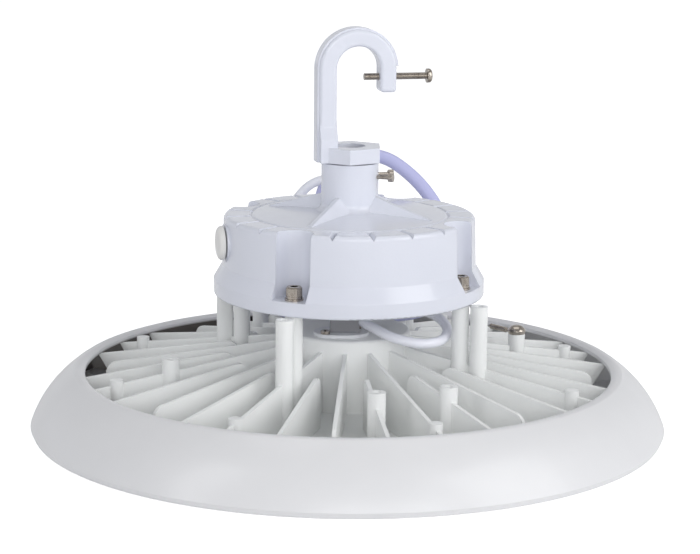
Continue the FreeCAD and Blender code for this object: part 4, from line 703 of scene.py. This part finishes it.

# %% [markdown]
# The skirt is a pressed ring in a smooth light grey enamel. Below its rolled lip the inner wall at the left is
# nearly black, where little light gets between it and the fins, and that shade is painted into the enamel's colour.
# Two materials on one piece would leave a hard seam, so one material finds that wall by itself: where the face looks
# towards the axis, low down, on the left, it paints the shade near black.

# %% Skirt
# The near-black colour of the painted shade on the skirt's inner wall
WALL_PAINTED_SHADE = (0.05, 0.036, 0.026, 1)
LIP_UNDERSIDE = (0.0295, 0.031)
FACING_INWARD = (-0.12, -0.02)
LEFT_SIDE = (-0.01, 0.01)


def make_skirt_material():
    material = cast_material("skirt_enamel", (0.80, 0.80, 0.81), (0.74, 0.74, 0.75), gloss=(0.30, 0.40),
                             grain=700.0, depth=0.05, rounding=0.0006, coat=0.2)
    tree = material.node_tree
    shader = tree.nodes["Principled BSDF"]
    outside = shader.inputs["Base Color"].links[0].from_socket
    place = object_place(tree)
    flat = add(tree, "ShaderNodeVectorMath", operation="MULTIPLY")
    flat.inputs[1].default_value = (1, 1, 0)
    join(tree, place, flat.inputs[0])
    radial = add(tree, "ShaderNodeVectorMath", operation="NORMALIZE")
    join(tree, flat.outputs[0], radial.inputs[0])
    facing = add(tree, "ShaderNodeVectorMath", operation="DOT_PRODUCT")
    join(tree, add(tree, "ShaderNodeNewGeometry").outputs["True Normal"], facing.inputs[0])
    join(tree, radial.outputs[0], facing.inputs[1])
    parts = add(tree, "ShaderNodeSeparateXYZ")
    join(tree, place, parts.inputs[0])
    inward = remap(tree, facing.outputs["Value"], *FACING_INWARD, 1.0, 0.0)
    low = remap(tree, parts.outputs["Z"], *LIP_UNDERSIDE, 1.0, 0.0)
    left = remap(tree, parts.outputs["X"], *LEFT_SIDE, 1.0, 0.0)
    # Painted shade: faces that look inward, low down and on the left, are mixed towards the near-black colour
    dark = maths(tree, "MULTIPLY", maths(tree, "MULTIPLY", inward, low), left)
    join(tree, mix(tree, dark, outside, WALL_PAINTED_SHADE), shader.inputs["Base Color"])
    return material


FINISH["skirt_grey"] = make_skirt_material()
print("skirt:", len(FINISH["skirt_grey"].node_tree.nodes), "nodes")

# %% [markdown]
# Nickel on the screws and washers is warm and fairly dark. The driver's drawn case is duller. The safety wire is
# laid from fine steel strands, and a wave along it gives their relief without modelling each strand.

# %% Metals
STRAND_SCALE = 420.0
STRAND_WANDER = 0.5
STRAND_STRENGTH = 0.8
STRAND_RELIEF = 0.0003


def make_wire_material():
    material = metal_material("strand_steel", (0.55, 0.55, 0.54), (0.32, 0.3, 0.27))
    tree = material.node_tree
    shader = tree.nodes["Principled BSDF"]
    wave = add(tree, "ShaderNodeTexWave")
    wave.inputs["Scale"].default_value = STRAND_SCALE
    wave.inputs["Distortion"].default_value = STRAND_WANDER
    join(tree, object_place(tree), wave.inputs["Vector"])
    smooth = shader.inputs["Normal"].links[0].from_socket
    normal = bump(tree, wave.outputs["Fac"], STRAND_STRENGTH, STRAND_RELIEF, smooth)
    join(tree, normal, shader.inputs["Normal"])
    return material


FINISH["nickel"] = metal_material("nickel_plate", (0.42, 0.38, 0.335), (0.18, 0.14, 0.11), gloss=(0.12, 0.24))
FINISH["driver_case"] = metal_material("drawn_case", (0.62, 0.62, 0.63), (0.5, 0.5, 0.5), gloss=(0.35, 0.5))
FINISH["steel_wire"] = make_wire_material()
print("finishes so far:", len(FINISH))

# %% [markdown]
# The cables' sheaths are soft and only a little shiny, lavender for the supply and white for the thin one and the
# output lead. Glands and plug are hard mouldings, the ties are nylon, and the seals are grey rubber.

# %% Cables, plastics and seals
FINISH["lavender_sheath"] = cast_material("lavender_sheath", (0.56, 0.57, 0.86), (0.50, 0.51, 0.80),
                                          gloss=(0.3, 0.45), grain=1600.0, depth=0.12)
FINISH["white_sheath"] = cast_material("white_sheath", (0.89, 0.90, 0.97), (0.83, 0.84, 0.92),
                                       gloss=(0.3, 0.45), grain=1600.0, depth=0.12)
FINISH["gland_plastic"] = cast_material("polyamide", (0.84, 0.85, 0.87), (0.66, 0.67, 0.7),
                                        gloss=(0.35, 0.5), depth=0.14)
FINISH["cream_plug"] = cast_material("cream_moulding", (0.88, 0.87, 0.85), (0.80, 0.79, 0.76), gloss=(0.3, 0.42))
FINISH["tie_plastic"] = cast_material("nylon", (0.83, 0.83, 0.81), (0.76, 0.76, 0.74), gloss=(0.3, 0.45))
FINISH["black_seal"] = cast_material("grey_rubber", (0.30, 0.30, 0.32), (0.22, 0.22, 0.23), gloss=(0.45, 0.6))
FINISH["lead_insulation"] = cast_material("core_insulation", (0.42, 0.22, 0.08), (0.34, 0.18, 0.06))
print("finishes so far:", len(FINISH))

# %% [markdown]
# What is inside isn't seen in the photograph: the LED board behind its frosted window, and the parts in the
# housing. They get plain finishes of their own, so that the model can be opened.

# %% Inside parts
FINISH["white_board"] = cast_material("solder_mask", (0.85, 0.86, 0.84), (0.78, 0.78, 0.75), grain=1500.0)
FINISH["led_yellow"] = cast_material("phosphor", (0.85, 0.66, 0.18), (0.8, 0.55, 0.12), grain=3000.0)
FINISH["frosted_lens"] = cast_material("frosted_lens", (0.80, 0.82, 0.83), (0.74, 0.76, 0.78),
                                       gloss=(0.35, 0.5), grain=1800.0)
FINISH["gasket_grey"] = cast_material("silicone", (0.3, 0.3, 0.3), (0.2, 0.2, 0.2), gloss=(0.5, 0.65))
FINISH["terminal_plastic"] = cast_material("terminal_moulding", (0.7, 0.7, 0.66), (0.6, 0.6, 0.56))
FINISH["surge_blue"] = cast_material("surge_moulding", (0.06, 0.11, 0.32), (0.04, 0.08, 0.25))
print("finishes:", len(FINISH))

# %% [markdown]
# The record says which material slot each CAD node has, so the nodes are painted by their slots. The new pieces
# carry their slot with them.

# %% Paint


def paint(obj, material):
    data = obj.data
    if len(data.materials) == 0:
        data.materials.append(material)
    for index in range(len(data.materials)):
        data.materials[index] = material


subparts = frame["record"]["subparts"]
for part in subparts:
    paint(nodes[part["node"]], FINISH[part["material_slot"]])
new_pieces = (supply_cord, dimming_cord, supply_cores, dimming_cores, gate_screw, cap_screws)
for piece in new_pieces:
    paint(piece, FINISH[piece["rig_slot"]])
print("painted:", len(subparts), "nodes and", len(new_pieces), "new pieces")

# %% [markdown]
# The photograph is a cut-out on white. A background that is simply white would also light the lamp from all sides
# and wash it out, so only rays that the camera sends see full white, and mirrored ones a share of it. Light that
# falls on the surfaces comes from a dimmer surround, which is darker overhead, as in a studio.

# %% Surround
MIRRORED_SHARE = 0.35
SURROUND_COLOUR = (0.93, 0.95, 1.0, 1)
# The height in the sky at which the surround starts and stops getting darker, and its level at both
SKY_RANGE = (0.05, 0.75)
SKY_LEVELS = (0.80, 0.16)


def seen_rays(tree):
    path = add(tree, "ShaderNodeLightPath")
    mirrored = maths(tree, "ADD", path.outputs["Is Glossy Ray"], path.outputs["Is Transmission Ray"])
    seen = maths(tree, "ADD", path.outputs["Is Camera Ray"], maths(tree, "MULTIPLY", mirrored, MIRRORED_SHARE))
    return maths(tree, "MINIMUM", seen, 1.0)


def make_world():
    world = bpy.data.worlds.new("studio")
    bpy.context.scene.world = world
    world.use_nodes = True
    tree = world.node_tree
    surround = tree.nodes["Background"]
    surround.inputs["Color"].default_value = SURROUND_COLOUR
    height = add(tree, "ShaderNodeSeparateXYZ")
    join(tree, add(tree, "ShaderNodeTexCoord").outputs["Generated"], height.inputs[0])
    join(tree, remap(tree, height.outputs["Z"], *SKY_RANGE, *SKY_LEVELS), surround.inputs["Strength"])
    seen = add(tree, "ShaderNodeBackground")
    seen.inputs["Color"].default_value = (1, 1, 1, 1)
    seen.inputs["Strength"].default_value = 1.0
    choice = add(tree, "ShaderNodeMixShader")
    join(tree, seen_rays(tree), choice.inputs[0])
    join(tree, surround.outputs[0], choice.inputs[1])
    join(tree, seen.outputs[0], choice.inputs[2])
    join(tree, choice.outputs[0], tree.nodes["World Output"].inputs["Surface"])
    return world


world = make_world()
print("surround:", world.name)

# %% [markdown]
# The floor is white paper with rounded corners. It glows a little for the camera, so that it meets the white
# background without an edge, and still takes the faint shadow under the rim.

# %% Floor
FLOOR_SIZE = 6
FLOOR_DROP = -0.0004
FLOOR_CORNER = 0.6
FLOOR_GLOW = 0.75


def make_floor():
    deselect()
    bpy.ops.mesh.primitive_plane_add(size=FLOOR_SIZE, location=(0, 0, FLOOR_DROP))
    floor = bpy.context.object
    floor.name = "floor"
    bpy.ops.object.mode_set(mode="EDIT")
    bpy.ops.mesh.select_all(action="SELECT")
    bpy.ops.mesh.bevel(offset=FLOOR_CORNER, segments=6, affect="VERTICES")
    to_origin(floor, Matrix.Identity(4))
    material = bpy.data.materials.new("paper_floor")
    material.use_nodes = True
    tree = material.node_tree
    shader = tree.nodes["Principled BSDF"]
    shader.inputs["Base Color"].default_value = (0.9, 0.9, 0.9, 1)
    shader.inputs["Roughness"].default_value = 0.9
    shader.inputs["Emission Color"].default_value = (1, 1, 1, 1)
    join(tree, maths(tree, "MULTIPLY", seen_rays(tree), FLOOR_GLOW), shader.inputs["Emission Strength"])
    paint(floor, material)
    return floor


floor = make_floor()
print("floor:", len(floor.data.vertices), "corners")

# %% [markdown]
# Four soft lamps shape the form. The right one is wide and the brightest from the side, the left one is a narrow
# strip that keeps that side a tone darker, one hangs above, and a broad one in front fills the pockets. Point
# lamps would give hard edges to the shadows, which the photograph doesn't have.

# %% Lamps
# Name, place, the point aimed at, width and height in metres, power in watts
LAMPS = [("left_softbox", (-1.5, -1.0, 1.1), (0, 0, 0.08), 0.5, 1.6, 6),
         ("right_softbox", (1.6, -0.8, 1.0), (0, 0, 0.08), 1.3, 1.6, 14),
         ("top_softbox", (0, 0.3, 1.9), (0, 0, 0.0), 1.4, 1.2, 5),
         ("front_fill", (0.5, -2.4, 0.8), (0, 0, 0.05), 1.8, 1.0, 16)]


def make_lamp(name, place, target, width, height, power):
    data = bpy.data.lights.new(name, "AREA")
    data.shape = "RECTANGLE"
    data.size = width
    data.size_y = height
    data.energy = power
    lamp = bpy.data.objects.new(name, data)
    bpy.context.collection.objects.link(lamp)
    lamp.location = place
    lamp.rotation_mode = "QUATERNION"
    lamp.rotation_quaternion = (Vector(target) - Vector(place)).to_track_quat("-Z", "Y")


for lamp in LAMPS:
    make_lamp(*lamp)
bpy.context.scene.view_settings.view_transform = "Standard"
print("lamps:", len(LAMPS))
